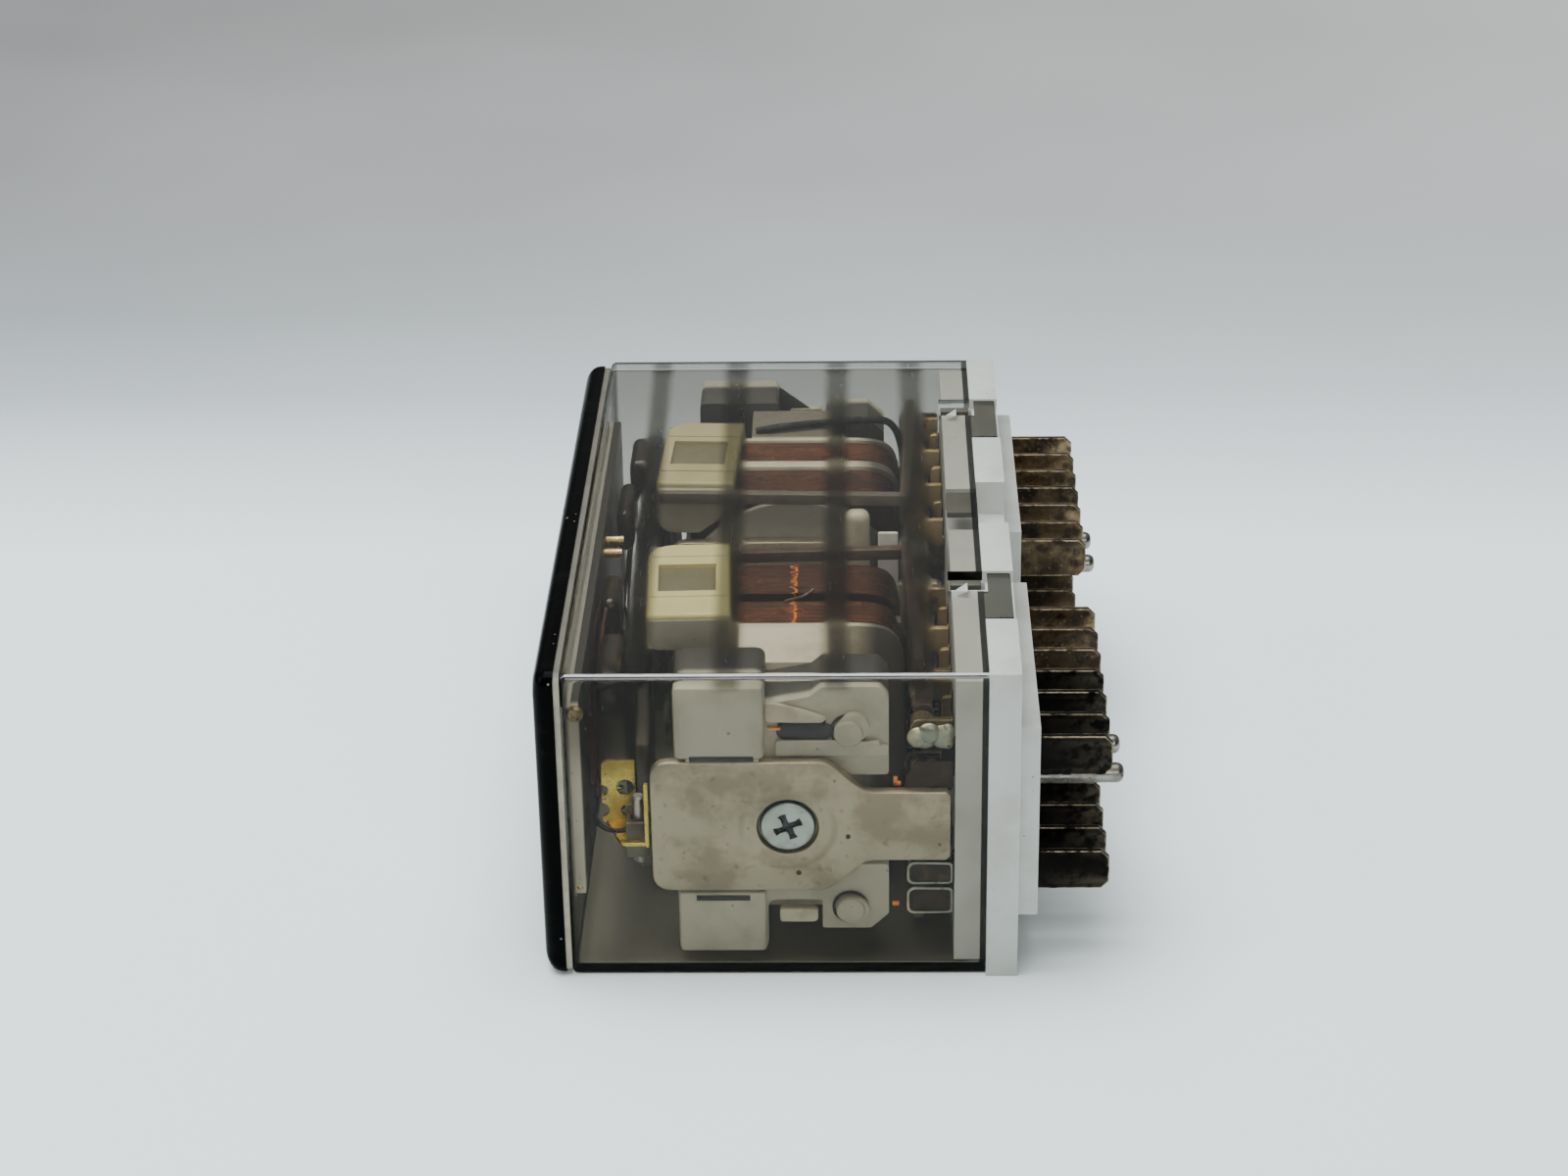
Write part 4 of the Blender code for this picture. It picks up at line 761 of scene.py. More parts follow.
def sheet(build, outline, start, end, axis="Y"):
    """Adds a plate from a flat outline, along Y or Z, and returns the corners at its end."""
    points = arcs(outline) if len(outline[0]) == 3 else outline
    offset = Vector((0.0, 0.0, end - start)) if axis == "Z" else Vector((0.0, end - start, 0.0))
    corners = [(across, up, start) if axis == "Z" else (across, start, up) for across, up in points]
    return thicken(build, [build.faces.new([build.verts.new(corner) for corner in corners])], offset)


def closed_loop(build, points):
    """Adds a closed line of points and returns its edges."""
    corners = [build.verts.new(point) for point in points]
    return [build.edges.new((corners[index - 1], corner)) for index, corner in enumerate(corners)]


for unit, matrix in units.items():
    build = bmesh.new()
    for centre, size in (((43.8, 3.1, 30.4), (1.25, 0.55, 1.3)), ((45.1, 3.05, 30.9), (1.4, 0.6, 1.35)),
            ((46.6, 3.1, 30.5), (1.3, 0.5, 1.5)), ((47.2, 3.1, 31.3), (0.8, 0.4, 0.85)),
            ((44.6, 3.1, 29.8), (1.2, 0.45, 0.8)), ((47.1, 3.1, 29.7), (0.85, 0.4, 0.8))):
        bmesh.ops.create_icosphere(build, subdivisions=4, radius=1.0, matrix=Matrix.Translation(centre)
            @ Matrix.Diagonal((*size, 1.0)))
    for low, high in ((11.0, 14.0), (7.0, 10.6)):
        edges = []
        for rim in ([(42.6, low, 0.8), (47.9, low + 0.1, 0.5), (47.9, high - 0.1, 0.5), (42.6, high, 1.0)],
                [(42.85, low + 0.25, 0.7), (47.7, low + 0.3, 0.4), (47.7, high - 0.35, 0.4),
                (42.85, high - 0.25, 0.8)]):
            edges += closed_loop(build, [(across, 3.0, up) for across, up in arcs(rim)])
        thicken(build, bmesh.ops.bridge_loops(build, edges=edges)["faces"], (0.0, -0.2, 0.0))
    fit(build, f"solder_{unit}", matrix, solder_finish)
    build = bmesh.new()
    sheet(build, [(43.6, 27.3, 0.3), (47.9, 27.4, 0.5), (47.9, 23.6, 0.6), (42.3, 23.5, 0.6),
        (42.4, 25.6, 0.2)], 2.9, 3.3)
    sheet(build, [(42.7, 11.1, 0.5), (47.9, 11.1, 0.4), (47.9, 13.9, 0.5), (42.7, 13.9, 0.8)], 2.98, 3.3)
    sheet(build, [(42.7, 7.1, 0.6), (47.9, 7.1, 0.7), (47.9, 10.5, 0.5), (42.7, 10.5, 0.6)], 2.98, 3.3)
    soften(build, 0.14)
    fit(build, f"varnished_joint_{unit}", matrix, varnish_finish)

# Yokes and core. Soft iron plate with a satin nickel finish, stained in
# clouds and freckles, with a faint ring round the screw where fluid dried.
# The core is one piece with the inner yoke.
AXIS_X = 28.8
AXIS_Z = 19.4
STAIN_RING = 5.4


def yoke_nickel(name, axis_place):
    """Satin nickel with stains round the screw."""
    finish, tree, shader = new_finish(name, 0.34, 1.0)
    flat = join("ShaderNodeVectorMath", {0: place_of(tree), 1: (1.0, 0.0, 1.0)}, operation="MULTIPLY")
    off_ring = apart(distance(flat.outputs[0], (axis_place.x, 0.0, axis_place.z)), STAIN_RING * MM)
    tide = times(ranged(off_ring, 0.0, 0.0007, 1.0, 0.0), times(use(tree, mottle, 260.0, 0.38, 0.6), 0.5))
    clouds = use(tree, mottle, 150.0, 0.42, 0.62)
    freckles = use(tree, mottle, 900.0, 0.58, 0.68)
    # Gold along the rubbed edges, partly a painted glint.
    tone = layered((0.56, 0.505, 0.385), (clouds, (0.42, 0.375, 0.28)),
        (times(freckles, 0.5), (0.27, 0.225, 0.155)), (tide, (0.30, 0.25, 0.18)),
        (use(tree, specks, 700.0, 0.10, 0.22), (0.06, 0.05, 0.04)),
        (use(tree, worn_and_glinting_edges, 0.00025), (0.85, 0.68, 0.40)))
    brushed = use(tree, mottle, 1700.0, 0.3, 0.7, (0.5, 1.0, 1.6))
    surface(shader, tone, clouds, (0.40, 0.56), brushed, 0.000006)
    return finish


for unit, matrix in units.items():
    finish = yoke_nickel(f"yoke_nickel_{unit}", matrix @ Vector((AXIS_X, 0.0, AXIS_Z)))
    refined(f"outer_yoke_{unit}", f"outer_yoke_plate_{unit}", finish, 0.12)
    refined(f"core_and_inner_yoke_{unit}", f"inner_yoke_plate_{unit}", finish, 0.15)

# Core screw. A blue-zinc flat head with a flared cross recess, sunk in the
# outer yoke, that pulls the core against it.
HEAD_FACE = 1.7
HEAD_RADIUS = 3.25
HEAD_HEIGHT = 0.8
SHANK_RADIUS = 1.5
SHANK_END = 10.9
CROSS_TILT = math.radians(25.0)
CROSS_DEPTH = 0.62
screw_finish, tree, shader = new_finish("blue_zinc", 0.22, 1.0)
spot = axes(tree)
# Painted shade: the cross recess is coloured near black below the head's face.
recess_shade = ranged(from_sides(spot), (HEAD_FACE + 0.03) * MM, (HEAD_FACE + 0.16) * MM, 0.0, 0.95)
bloom = use(tree, mottle, 480.0, 0.36, 0.66)
tone = layered((0.60, 0.70, 0.70), (bloom, (0.50, 0.56, 0.50)),
    (use(tree, specks, 1300.0, 0.2, 0.2), (0.25, 0.24, 0.18)), (recess_shade, (0.035, 0.045, 0.055)))
surface(shader, tone, bloom, (0.30, 0.44), bloom, 0.000008)
for unit, matrix in units.items():
    build = bmesh.new()
    turned(build, [(0.0, 0.0), (HEAD_RADIUS - 0.5, 0.0), (HEAD_RADIUS - 0.2, 0.08),
        (HEAD_RADIUS - 0.04, 0.24), (HEAD_RADIUS, 0.45), (HEAD_RADIUS, HEAD_HEIGHT),
        (SHANK_RADIUS, HEAD_HEIGHT), (SHANK_RADIUS, SHANK_END - HEAD_FACE - 0.5),
        (SHANK_RADIUS - 0.5, SHANK_END - HEAD_FACE), (0.0, SHANK_END - HEAD_FACE)],
        (AXIS_X, HEAD_FACE, AXIS_Z), "Y", 56)
    screw = fit(build, f"cross_screw_{unit}", matrix, screw_finish, [f"core_screw_{unit}"])
    cross = []
    for quarter in range(4):
        turn = CROSS_TILT + quarter * math.pi / 2
        for a, b in ((0.66, -0.48), (1.5, -0.50), (2.25, -0.72), (2.35, 0.0), (2.25, 0.72), (1.5, 0.50)):
            cross.append(Vector((AXIS_X, AXIS_Z)) + Matrix.Rotation(turn, 2) @ Vector((a, b)))
    tool = bmesh.new()
    floor = sheet(tool, cross, HEAD_FACE - 1.0, HEAD_FACE + CROSS_DEPTH)
    bmesh.ops.scale(tool, vec=(0.6, 1.0, 0.6), verts=floor,
        space=Matrix.Translation((-AXIS_X, 0.0, -AXIS_Z)))
    carve(screw, tool, matrix)

# Bobbin. A cream moulding with a terminal collar beside the outer yoke, an
# outer and a middle flange, and a disc at its inner end painted grey as shade.
bobbin_finish, tree, shader = new_finish("bobbin_cream", 0.42)
spot = axes(tree)
inner_end = math_node("LESS_THAN", apart(spot["Y"]), 0.0089)
clouds = use(tree, mottle, 200.0, 0.42, 0.68)
inner_end_shade = mixed(clouds, (0.34, 0.325, 0.275), (0.26, 0.245, 0.20))
# Painted shade: near black towards the rear of the case and at the far unit's outer end.
painted_rear_shade = larger(ranged(spot["X"], deep(36.0), deep(39.5), 0.0, 0.93),
    ranged(spot["Y"], 0.0262, 0.0268, 0.0, 0.75))
tone = layered((0.62, 0.565, 0.42), (clouds, (0.48, 0.43, 0.31)), (inner_end, inner_end_shade),
    (use(tree, worn_and_glinting_edges, 0.0003, 0.7), (0.74, 0.70, 0.60)), (painted_rear_shade, (0.035, 0.030, 0.024)))
surface(shader, tone, clouds, (0.36, 0.5), use(tree, grain, 2200.0), 0.000012)
for unit in units:
    refined(f"bobbin_{unit}", f"coil_bobbin_{unit}", bobbin_finish, 0.18)

# Windings. Thousands of turns of fine enamelled copper in two chambers, held
# under an amber film, with one turn crossing from chamber to chamber, and an
# orange line along the near coil's crest as a painted highlight.
OUTER_CHAMBER = (20.9, 27.1)
INNER_CHAMBER = (29.3, 37.1)
COIL_HALF_X = 13.4
COIL_HALF_Z = 15.9
COIL_SQUARENESS = 8.0
WIRE_PITCH = 0.21
WINDING_ROWS = 26
winding_finish, tree, shader = new_finish("enamelled_copper", 0.3, 0.7, 0.15)
spot = axes(tree)
drift = times(noise(tree, 120.0).outputs["Fac"], 0.0009)
row = times(math_node("ADD", spot["Y"], drift), math.tau / (WIRE_PITCH * MM))
turns = ranged(math_node("SINE", row), -1.0, 1.0, smooth=False)
film = use(tree, mottle, 110.0, 0.36, 0.62, (1.0, 2.2, 1.0))
loose = use(tree, mottle, 700.0, 0.45, 0.62, (0.3, 2.5, 1.0))
inner_chamber = math_node("LESS_THAN", apart(spot["Y"]), 0.0178)
bent = times(math_node("SUBTRACT", loose, 0.5), 0.0007)
# Painted highlight: a bright orange line along the near coil's crest.
off_stripe = apart(math_node("ADD", spot["X"], bent), deep(AXIS_X + 0.4))
painted_crest_highlight = times(ranged(off_stripe, 0.00004, 0.00021, 1.0, 0.0), math_node("LESS_THAN", spot["Y"], 0.0))
copper = layered((0.15, 0.050, 0.018), (film, (0.065, 0.025, 0.011)),
    (times(loose, 0.5), (0.03, 0.014, 0.009)), (times(inner_chamber, 0.5), (0.03, 0.015, 0.010)),
    (painted_crest_highlight, (0.95, 0.26, 0.02)))
copper = mixed(turns, mixed(0.55, copper, (0.03, 0.015, 0.01)), copper)
surface(shader, copper, film, (0.24, 0.42), turns, 0.00005)
shader.inputs["Coat Weight"].default_value = 0.1
shader.inputs["Coat Roughness"].default_value = 0.12


def rod(build, radius, length, centre, axis="Y", steps=40):
    """Adds a plain round bar."""
    turned(build, [(0.0, 0.0), (radius, 0.0), (radius, length), (0.0, length)], centre, axis, steps)


def coil_outline(half_x, half_z, steps=72):
    """Outline of a winding: a box with full, rounded corners."""
    points = []
    power = 2.0 / COIL_SQUARENESS
    for step in range(steps):
        turn = math.tau * step / steps
        across = math.copysign(abs(math.cos(turn)) ** power, math.cos(turn))
        up = math.copysign(abs(math.sin(turn)) ** power, math.sin(turn))
        points.append((AXIS_X + across * half_x, AXIS_Z + up * half_z))
    return points


for unit, matrix in units.items():
    build = bmesh.new()
    for number, (start, end) in enumerate((OUTER_CHAMBER, INNER_CHAMBER)):
        rings = []
        for row in range(WINDING_ROWS + 1):
            share = row / WINDING_ROWS
            slack = 0.10 * abs(math.sin(row * 2.4 + number)) + 0.35 * max(0.0, abs(share - 0.5) * 2 - 0.86)
            outline = coil_outline(COIL_HALF_X - slack, COIL_HALF_Z - slack)
            along = start + (end - start) * share
            rings.append(closed_loop(build, [(across, along, up) for across, up in outline]))
        for lower, upper in zip(rings, rings[1:]):
            bmesh.ops.bridge_loops(build, edges=lower + upper)
        for rim in (rings[0], rings[-1]):
            bmesh.ops.holes_fill(build, edges=rim)
    crossing = (OUTER_CHAMBER[1] - 0.6, INNER_CHAMBER[0] + 0.6)
    block(build, (AXIS_X - 1.5, AXIS_X + 1.5), crossing, (33.0, 34.2))
    winding = fit(build, f"copper_winding_{unit}", matrix, winding_finish,
        [f"winding_{unit}"], smooth=60.0)
    bore = bmesh.new()
    rod(bore, 6.8, 20.0, (AXIS_X, 19.0, AXIS_Z))
    carve(winding, bore, matrix)

# Coil leads. A bright wire that slants from one chamber to the next, a black
# sleeved lead over the far coil, red-brown lead wires in front of the
# armatures, and dark sleeves, all tied down and fixed.


def wire(name, points, radius, place, finish):
    """A round wire or sleeve along a route of points."""
    curve = bpy.data.curves.new(name, "CURVE")
    curve.dimensions = "3D"
    curve.bevel_depth = radius
    curve.bevel_resolution = 3
    curve.use_fill_caps = True
    curve.resolution_u = 6
    route = curve.splines.new("NURBS")
    route.points.add(len(points) - 1)
    for point, spot_here in zip(route.points, points):
        point.co = (*spot_here, 1.0)
    route.order_u = 3
    route.use_endpoint_u = True
    holder = put(name, curve)
    graph = bpy.context.evaluated_depsgraph_get()
    tube = bpy.data.meshes.new_from_object(holder.evaluated_get(graph))
    bpy.data.objects.remove(holder)
    build = bmesh.new()
    build.from_mesh(tube)
    bmesh.ops.remove_doubles(build, verts=build.verts, dist=0.0001)
    return fit(build, name, place, finish, smooth=50.0)


def lead(name, colour, shade, roughness, coat=0.0):
    """Lacquered or sleeved lead."""
    finish, tree, shader = new_finish(name, roughness, specular=0.2)
    patch = use(tree, mottle, 600.0, 0.4, 0.66)
    shader.inputs["Coat Weight"].default_value = coat
    surface(shader, mixed(patch, colour, shade), patch, (roughness, roughness + 0.15), patch, 0.00001)
    return finish


black_lead = lead("black_sleeving", (0.006, 0.0055, 0.005), (0.015, 0.013, 0.011), 0.25)
red_lead = lead("red_lacquer", (0.085, 0.032, 0.022), (0.05, 0.02, 0.015), 0.3, 0.3)
gloss_sleeve = lead("gloss_sleeve", (0.012, 0.010, 0.007), (0.04, 0.03, 0.016), 0.12, 0.8)
pale_lead = metal("tinned_wire", (0.42, 0.37, 0.30), (0.26, 0.21, 0.15), 0.25, 500.0)
for unit, matrix in units.items():
    wire(f"crossing_wire_{unit}", [(28.2, 26.6, 35.5), (28.9, 27.2, 35.45), (30.2, 28.3, 35.2),
        (31.2, 29.2, 35.35), (31.6, 29.8, 35.5)], 0.14, matrix, pale_lead)
    for number, (front, height) in enumerate(((5.0, 29.5), (6.1, 30.3), (5.5, 27.8))):
        wire(f"lead_wire_{number}_{unit}", [(front + 0.8, 10.0, height - 9.0),
            (front + 0.3, 14.0, height - 2.0), (front - 0.2 + 0.3 * number, 22.0, height + 1.0),
            (front + 0.2, 30.0, height + 2.4), (front + 0.6, 37.0, height + 2.0),
            (front + 1.6, 41.0, height - 1.5), (front + 2.4, 43.0, height - 8.0)], 0.24, matrix, red_lead)
wire("far_coil_lead", [(23.6, 74.0, 36.9), (25.2, 73.9, 37.3), (29.0, 74.9, 37.35), (34.0, 76.0, 37.3),
    (38.6, 76.9, 37.3), (41.6, 77.4, 36.8), (43.0, 77.4, 33.0), (43.2, 77.2, 29.0)], 0.5, case, black_lead)
SLEEVES = {"a": (((6.2, 9.4), (12.6, 24.0), (27.6, 33.0)), ((5.6, 8.0), (30.6, 38.6), (28.0, 33.6))),
    "b": (((5.9, 8.1), (25.0, 35.0), (7.0, 12.6)), ((6.7, 11.2), (11.2, 20.0), (6.6, 12.2)))}
for unit, matrix in units.items():
    build = bmesh.new()
    for spans in SLEEVES[unit]:
        soften(build, 1.1, 4, edges=list({edge for vert in block(build, *spans)
            for edge in vert.link_edges}))
    fit(build, f"dark_sleeves_{unit}", matrix, gloss_sleeve)

# Contact frames. Warm grey mouldings above and below the outer yoke that
# clamp the coil's collar, with a round boss each, a slate-blue insulating
# strip in the upper one, dark strips of painted shadow under the upper block
# and on top of the lower one, and small cream levers.
FRAME_FACE = 3.4
BLOCK_FACE = 1.7
# Painted shade: the frames go dark deeper than 4.2 mm in from the case's sides.
frame_finish = moulded("frame_grey", (0.42, 0.40, 0.31), (0.32, 0.305, 0.23), 0.44, 150.0,
    (0.46, 0.44, 0.37), (0.16, 0.13, 0.09), 0.3, lit_depth=4.2)
slate_and_shadow_finish = moulded("slate_strip_and_shadow_lines", (0.012, 0.014, 0.015), (0.022, 0.023, 0.021), 0.3, 300.0)
lever_finish = moulded("lever_cream", (0.50, 0.46, 0.34), (0.36, 0.33, 0.24), 0.4, 300.0,
    (0.75, 0.72, 0.62))
BOSSES = ((35.9, 31.2), (36.0, 7.7))
for unit, matrix in units.items():
    for row in ("upper", "lower"):
        refined(f"{row}_contact_frame_{unit}", f"{row}_grey_frame_{unit}", frame_finish,
            0.28, 3)
    build = bmesh.new()
    sheet(build, [(27.5, 28.2, 0.3), (40.5, 28.2, 0.3), (40.5, 29.4, 0.2), (39.5, 29.5, 0.2),
        (39.4, 30.1, 0.3), (27.5, 30.1, 0.4)], 2.75, FRAME_FACE - 0.02)
    sheet(build, [(17.2, 27.95, 0.3), (25.6, 27.95, 0.3), (25.6, 28.35, 0.1),
        (17.2, 28.35, 0.1)], 1.75, 2.4)
    soften(build, 0.2)
    for boss_x, boss_z in BOSSES:
        turned(build, [(0.0, 0.0), (1.15, 0.0), (1.55, 0.14), (1.7, 0.4), (1.7, 1.1), (0.0, 1.1)],
            (boss_x, 2.1, boss_z))
    fit(build, f"frame_ledge_{unit}", matrix, frame_finish)
    build = bmesh.new()
    sheet(build, [(27.6, 30.15, 1.0), (33.4, 30.15, 0.6), (34.4, 30.7, 0.3), (34.4, 31.7, 0.3),
        (33.4, 32.15, 0.6), (27.6, 32.15, 1.0)], FRAME_FACE - 0.25, FRAME_FACE - 0.02)
    for boss_x, boss_z in BOSSES:
        turned(build, [(1.82, 0.0), (1.82, 0.16), (2.16, 0.16), (2.16, 0.0), (1.82, 0.0)],
            (boss_x, FRAME_FACE - 0.22, boss_z))
    # Painted shadow: dark strips under the upper block and along the top of the lower block.
    for lengths, heights in (((17.6, 25.0), (28.05, 28.75)), ((18.0, 24.3), (9.5, 10.2))):
        block(build, lengths, (BLOCK_FACE - 0.04, BLOCK_FACE + 0.3), heights)
    for dot_x, dot_z in ((20.6, 15.7), (22.5, 16.1)):
        rod(build, 0.13, 0.1, (dot_x, 1.72, dot_z), "Y", 12)
    soften(build, 0.05, 2, 50.0)
    fit(build, f"slate_strip_and_shadow_lines_{unit}", matrix, slate_and_shadow_finish)
    build = bmesh.new()
    sheet(build, [(26.3, 32.4, 0.7), (29.9, 32.3, 0.3), (32.9, 32.3, 0.6), (33.6, 33.0, 0.5),
        (31.2, 33.9, 0.9), (28.0, 34.8, 0.8), (26.3, 34.9, 0.6)], 3.05, FRAME_FACE + 0.1)
    sheet(build, [(27.7, 6.1, 0.4), (32.2, 6.1, 0.6), (32.2, 7.9, 0.6), (27.7, 7.9, 0.4)], 2.4,
        FRAME_FACE + 0.1)
    soften(build, 0.22, 3, 50.0)
    fit(build, f"levers_{unit}", matrix, lever_finish)
    # Bright copper tails that serve as painted glints: one on the keyhole strip, the rest beside the
    # varnished tags.
    glint_tails = (((26.6, 28.1), (31.45, 31.8)), ((41.0, 41.9), (24.2, 24.7)), ((41.0, 41.5), (24.2, 25.3)),
        ((40.9, 41.7), (8.0, 8.5)))
    glint_copper_finish = metal(f"glinting_copper_{unit}", (1.0, 0.34, 0.12), (0.85, 0.22, 0.06), 0.3, 500.0)
    fit(boxes([(lengths, (2.9, 3.3), heights) for lengths, heights in glint_tails], 0.1, 2),
        f"copper_glint_tails_{unit}", matrix, glint_copper_finish)

# Hinge bracket, pin and spring clip. Bright brass sheet folded round the
# yoke's front edge, whose two ears hold the armature's hinge pin; a steel
# wire clip keeps the pin in, and a small coiled spring stands beside it.
PIVOT = (11.4, 4.6)
BRACKET_Z = (16.5, 24.9)
brass_finish = metal("bright_brass", (0.82, 0.64, 0.15), (0.52, 0.39, 0.08), 0.24, 260.0,
    (0.88, 0.70, 0.32), (0.25, 0.17, 0.06), 0.25)
steel_finish = metal("hinge_steel", (0.50, 0.49, 0.46), (0.30, 0.28, 0.25), 0.3, 400.0)
for unit, matrix in units.items():
    low, high = BRACKET_Z
    build = bmesh.new()
    sheet(build, [(6.9, low, 0.7), (10.9, low, 0.2), (10.9, high, 0.2), (6.9, high, 0.7)], 7.6, 8.1)
    block(build, (12.2, 12.7), (1.9, 2.8), (low + 0.1, high - 0.1))
    for start in (low, high - 0.45):
        sheet(build, [(9.4, 2.3, 0.8), (12.6, 2.3, 0.2), (12.6, 6.1, 0.2), (10.9, 8.0, 0.1),
            (7.2, 8.0, 0.1)], start, start + 0.45, "Z")
    soften(build, 0.08, 2)
    bracket = fit(build, f"brass_bracket_{unit}", matrix, brass_finish,
        [f"hinge_bracket_{unit}"])
    for radius, length, centre, axis in ((1.05, 2.0, (9.7, 7.0, 21.4), "Y"),
            (1.0, 2.0, (10.1, 7.0, 18.3), "Y"), (0.7, 2.0, (7.0, 7.0, 21.0), "Y"),
            (0.9, 2.0, (6.9, 7.0, 18.4), "Y"), (1.05, 14.0, (*PIVOT, 12.5), "Z")):
        hole = bmesh.new()
        rod(hole, radius, length, centre, axis, 28)
        carve(bracket, hole, matrix)
    build = bmesh.new()
    turned(build, [(0.0, 0.0), (0.55, 0.0), (0.75, 0.2), (0.75, 3.8), (0.85, 3.9), (0.85, 5.3),
        (0.75, 5.4), (0.75, 8.6), (0.55, 8.8), (0.0, 8.8)], (*PIVOT, 13.3), "Z", 28)
    fit(build, f"steel_hinge_pin_{unit}", matrix, steel_finish, [f"hinge_pin_{unit}"])
    wire(f"spring_clip_{unit}", [(6.2, 5.0, 19.4), (6.6, 4.2, 18.6), (7.6, 3.8, 17.9), (9.2, 3.8, 17.7),
        (10.4, 4.2, 17.9), (11.0, 5.0, 18.6)], 0.3, matrix, black_lead)
    wire(f"return_spring_{unit}", [(8.6 + 0.75 * math.cos(0.9 * step), 10.6 + 0.75 * math.sin(0.9 * step),
        20.6 - 0.13 * step) for step in range(44)], 0.16, matrix, steel_finish)

# Armatures. Flat soft-iron plates on the hinge pins, drawn closed and turned
# to rest by the return spring's travel.
moving = {}
for joint in frame["joints"]:
    unit = joint["name"][-1]
    turn = math.radians(joint["range_deg"][1])
    pivot = Vector((*PIVOT, 0.0))
    moving[unit] = (units[unit] @ Matrix.Translation(pivot) @ Matrix.Rotation(turn, 4, "Z")
        @ Matrix.Translation(-pivot))
armature_finish = metal("armature_nickel", (0.16, 0.145, 0.12), (0.09, 0.08, 0.065), 0.32, 200.0,
    (0.38, 0.35, 0.29), (0.06, 0.05, 0.04), 0.15, (0.4, 2.0, 2.0))
for unit in units:
    refined(f"armature_{unit}", f"armature_plate_{unit}", armature_finish, 0.12,
        body=f"armature_group_{unit}")

# Actuators. A cream cap over the upper and lower side of each coil, carried on
# the armature by a dark web and thin side walls. Each cap has a shallow window,
# two mould lines and one fully rounded front corner.
CAP_X = (12.6, 22.6)
CAP_Y = (18.0, 37.3)
CAP_HEIGHT = 4.4
CAP_ROWS = ((38.0, 36.0, 1), (1.6, 2.8, -1))
WINDOW_X = (13.9, 20.9)
WINDOW_Y = (24.3, 31.5)
MOULD_LINES = (22.8, 33.7)
# The far unit's caps are the same cream as the near unit's, painted darker as shade.
CAP_LIT_AND_SHADED_TONES = {"a": ((0.74, 0.665, 0.315), (0.64, 0.565, 0.25), (0.79, 0.75, 0.52)),
    "b": ((0.48, 0.43, 0.225), (0.40, 0.36, 0.17), (0.51, 0.48, 0.34))}
web_finish = moulded("web_brown", (0.05, 0.042, 0.032), (0.03, 0.025, 0.02), 0.3, 200.0)
# The caps' side walls take the caps' cream, painted darker and greyer as shade.
shaded_wall_finish = moulded("shaded_wall_cream", (0.34, 0.325, 0.25), (0.28, 0.265, 0.20), 0.36, 150.0)
window_finish = moulded("cap_window", (0.18, 0.162, 0.095), (0.15, 0.137, 0.08), 0.3, 200.0)


def cap(build, outer, away, rounded_end):
    """Adds a cap from its outer face, with a full radius at one front corner."""
    verts = block(build, CAP_X, CAP_Y, (outer - away * CAP_HEIGHT, outer))
    edges = {edge for vert in verts for face in vert.link_faces for edge in face.edges}
    front = [e for e in edges if all(abs(v.co.x - CAP_X[0]) < 0.01 for v in e.verts)
        and abs(e.verts[0].co.z - e.verts[1].co.z) > 1.0]
    for end in CAP_Y:
        corner = [e for e in front if e.is_valid and abs(e.verts[0].co.y - end) < 0.01]
        soften(build, 3.2 if end == rounded_end else 0.5, 8, edges=corner)
    rim = [e for e in build.edges if all(abs(v.co.z - outer) < 0.01 for v in e.verts)
        and e.calc_face_angle(0.0) > 0.5]
    soften(build, 0.7, 5, edges=rim)


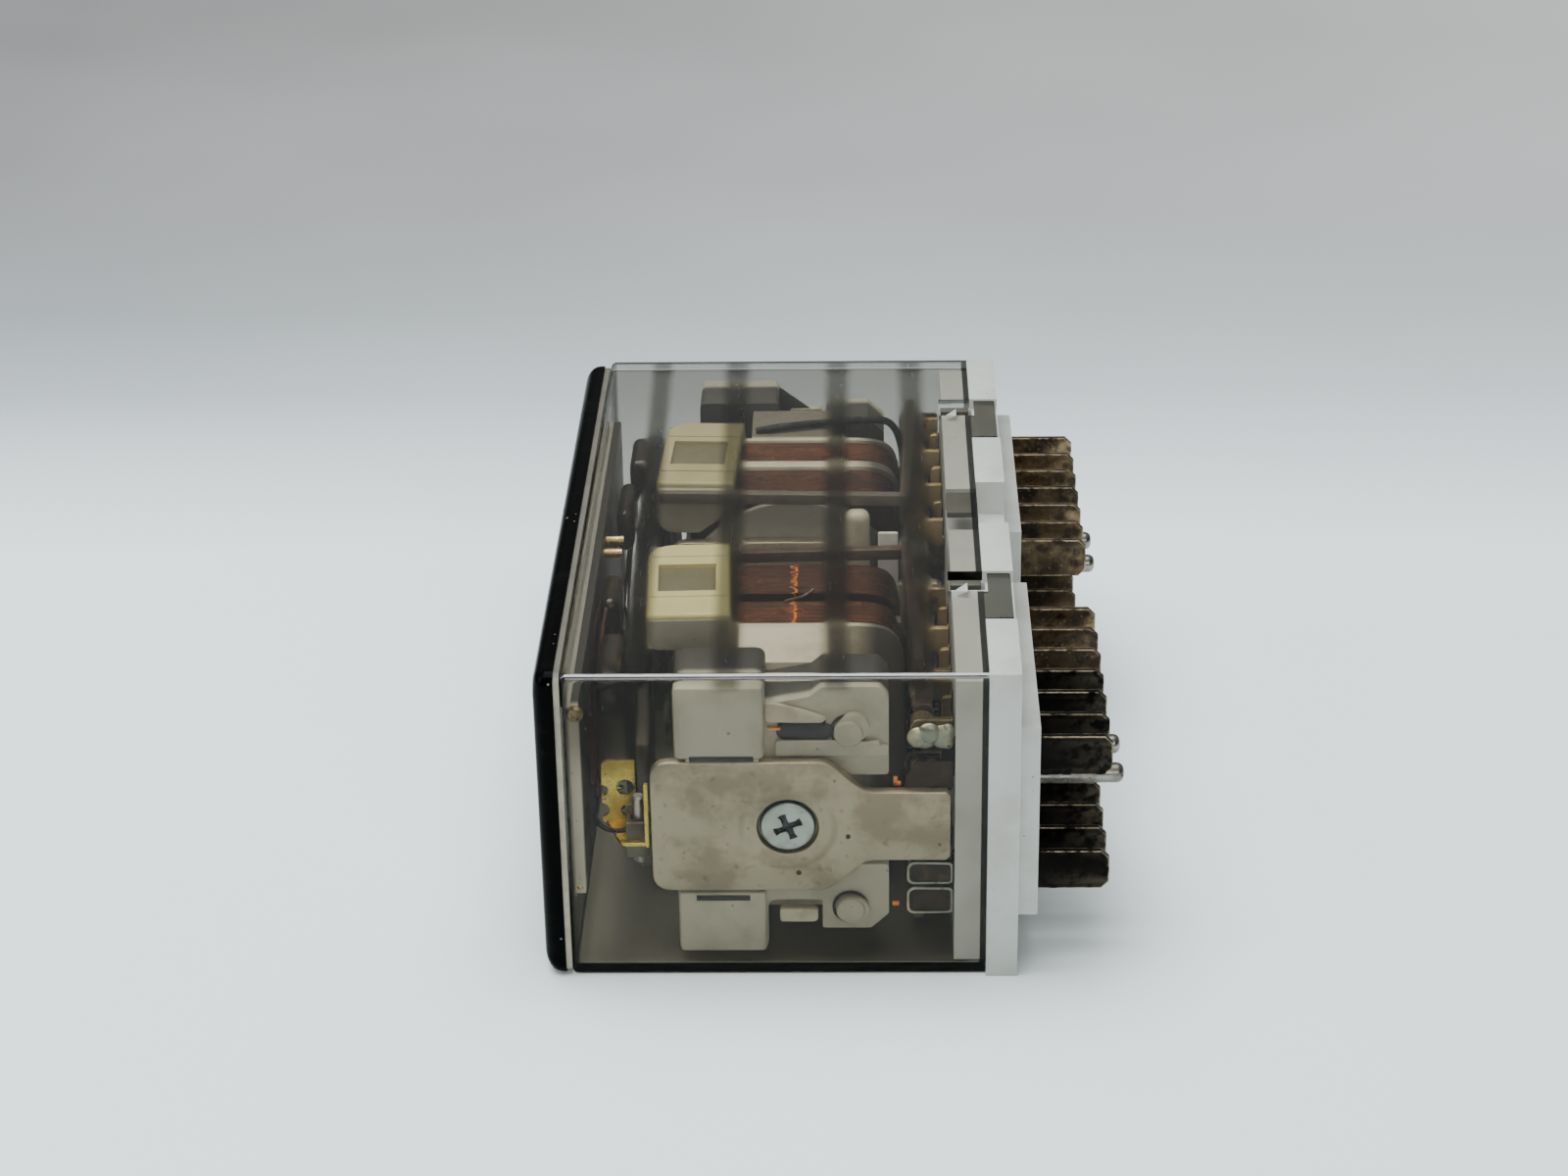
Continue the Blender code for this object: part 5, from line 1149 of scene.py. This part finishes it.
for unit, matrix in moving.items():
    body = f"armature_group_{unit}"
    colour, stain, edge = CAP_LIT_AND_SHADED_TONES[unit]
    cap_finish = moulded(f"cap_cream_{unit}", colour, stain, 0.36, 120.0, edge, (0.40, 0.33, 0.2), 0.08)
    caps = bmesh.new()
    tools = bmesh.new()
    panes = []
    for outer, inner, away in CAP_ROWS:
        cap(caps, outer, away, CAP_Y[1] if unit == "a" else CAP_Y[0])
        block(tools, (14.6, 23.6), (19.0, 38.3), (inner, outer - away * 7.5))
        block(tools, WINDOW_X, WINDOW_Y, (outer - away * 0.5, outer + away))
        for line in MOULD_LINES:
            block(tools, (11.0, 23.6), (line - 0.13, line + 0.13), (outer - away * 0.13, outer + away))
        panes.append(((WINDOW_X[0] + 0.05, WINDOW_X[1] - 0.05), (WINDOW_Y[0] + 0.05, WINDOW_Y[1] - 0.05),
            (outer - away * 0.42, outer - away * 1.02)))
    actuator = fit(caps, f"cream_actuator_{unit}", matrix, cap_finish,
        [f"actuator_{unit}"], body)
    carve(actuator, tools, matrix)
    web = boxes([((11.0, 12.8), (24.0, 33.0), (28.0, 36.4)), ((11.0, 12.8), (24.0, 33.0), (3.4, 10.8)),
        ((9.31, 11.0), (24.2, 32.8), (10.2, 28.6))], 0.3)
    fit(web, f"actuator_web_{unit}", matrix, web_finish, body=body)
    walls = bmesh.new()
    for level, away in ((37.3, -1), (2.3, 1)):
        sheet(walls, [(12.75, level, 0.2), (12.75, level + away * 6.0, 2.0),
            (18.0, level + away * 6.0, 0.5), (22.3, level + away * 2.8, 0.3),
            (22.3, level, 0.2)], 37.2, 38.0)
        sheet(walls, [(12.75, level, 0.2), (12.75, level + away * 3.9, 1.2),
            (22.3, level + away * 3.9, 0.4), (22.3, level, 0.2)], 17.86, 18.1)
    soften(walls, 0.15, 2)
    fit(walls, f"cap_walls_{unit}", matrix, shaded_wall_finish, body=body)
    fit(boxes(panes, 0.1, 2), f"cap_windows_{unit}", matrix, window_finish, body=body)

# Contact cards. A brown card above and a drab, dark one below for each unit,
# which carry the contact fingers from the armature to the blades.
card_finish = moulded("card_brown", (0.055, 0.034, 0.024), (0.095, 0.062, 0.042), 0.3, 220.0,
    (0.16, 0.11, 0.08))
pale_card_finish = moulded("card_cream", (0.11, 0.09, 0.065), (0.08, 0.062, 0.045), 0.4, 220.0,
    (0.2, 0.17, 0.13))
for unit in units:
    for row, finish, slot in (("upper", card_finish, "brown_plastic"),
            ("lower", pale_card_finish, "cream_plastic")):
        refined(f"{row}_contact_card_{unit}", f"{row}_finger_card_{unit}", finish, 0.15,
            body=f"armature_group_{unit}")

# Between the units. A blank white tag and a cream post stand between the two
# inner yokes, and two gilt pivots show at the front.
tag_finish = moulded("tag_white", (0.70, 0.70, 0.66), (0.56, 0.55, 0.5), 0.4, 300.0)
fit(boxes([((39.5, 42.0), (43.2, 43.7), (26.0, 36.6))], 0.2), "blank_tag", case, tag_finish)
fit(boxes([((35.4, 38.5), (49.0, 51.6), (22.0, 36.4))], 1.1, 5), "cream_post", case, lever_finish)
build = bmesh.new()
for start in (46.6, 50.2):
    rod(build, 0.6, 2.4, (4.9, start, 32.4), "X", 24)
fit(build, "gilt_pivots", case, gilt)

# Size. The case's box after the finish; cad_low and cad_high hold it before.
low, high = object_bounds()
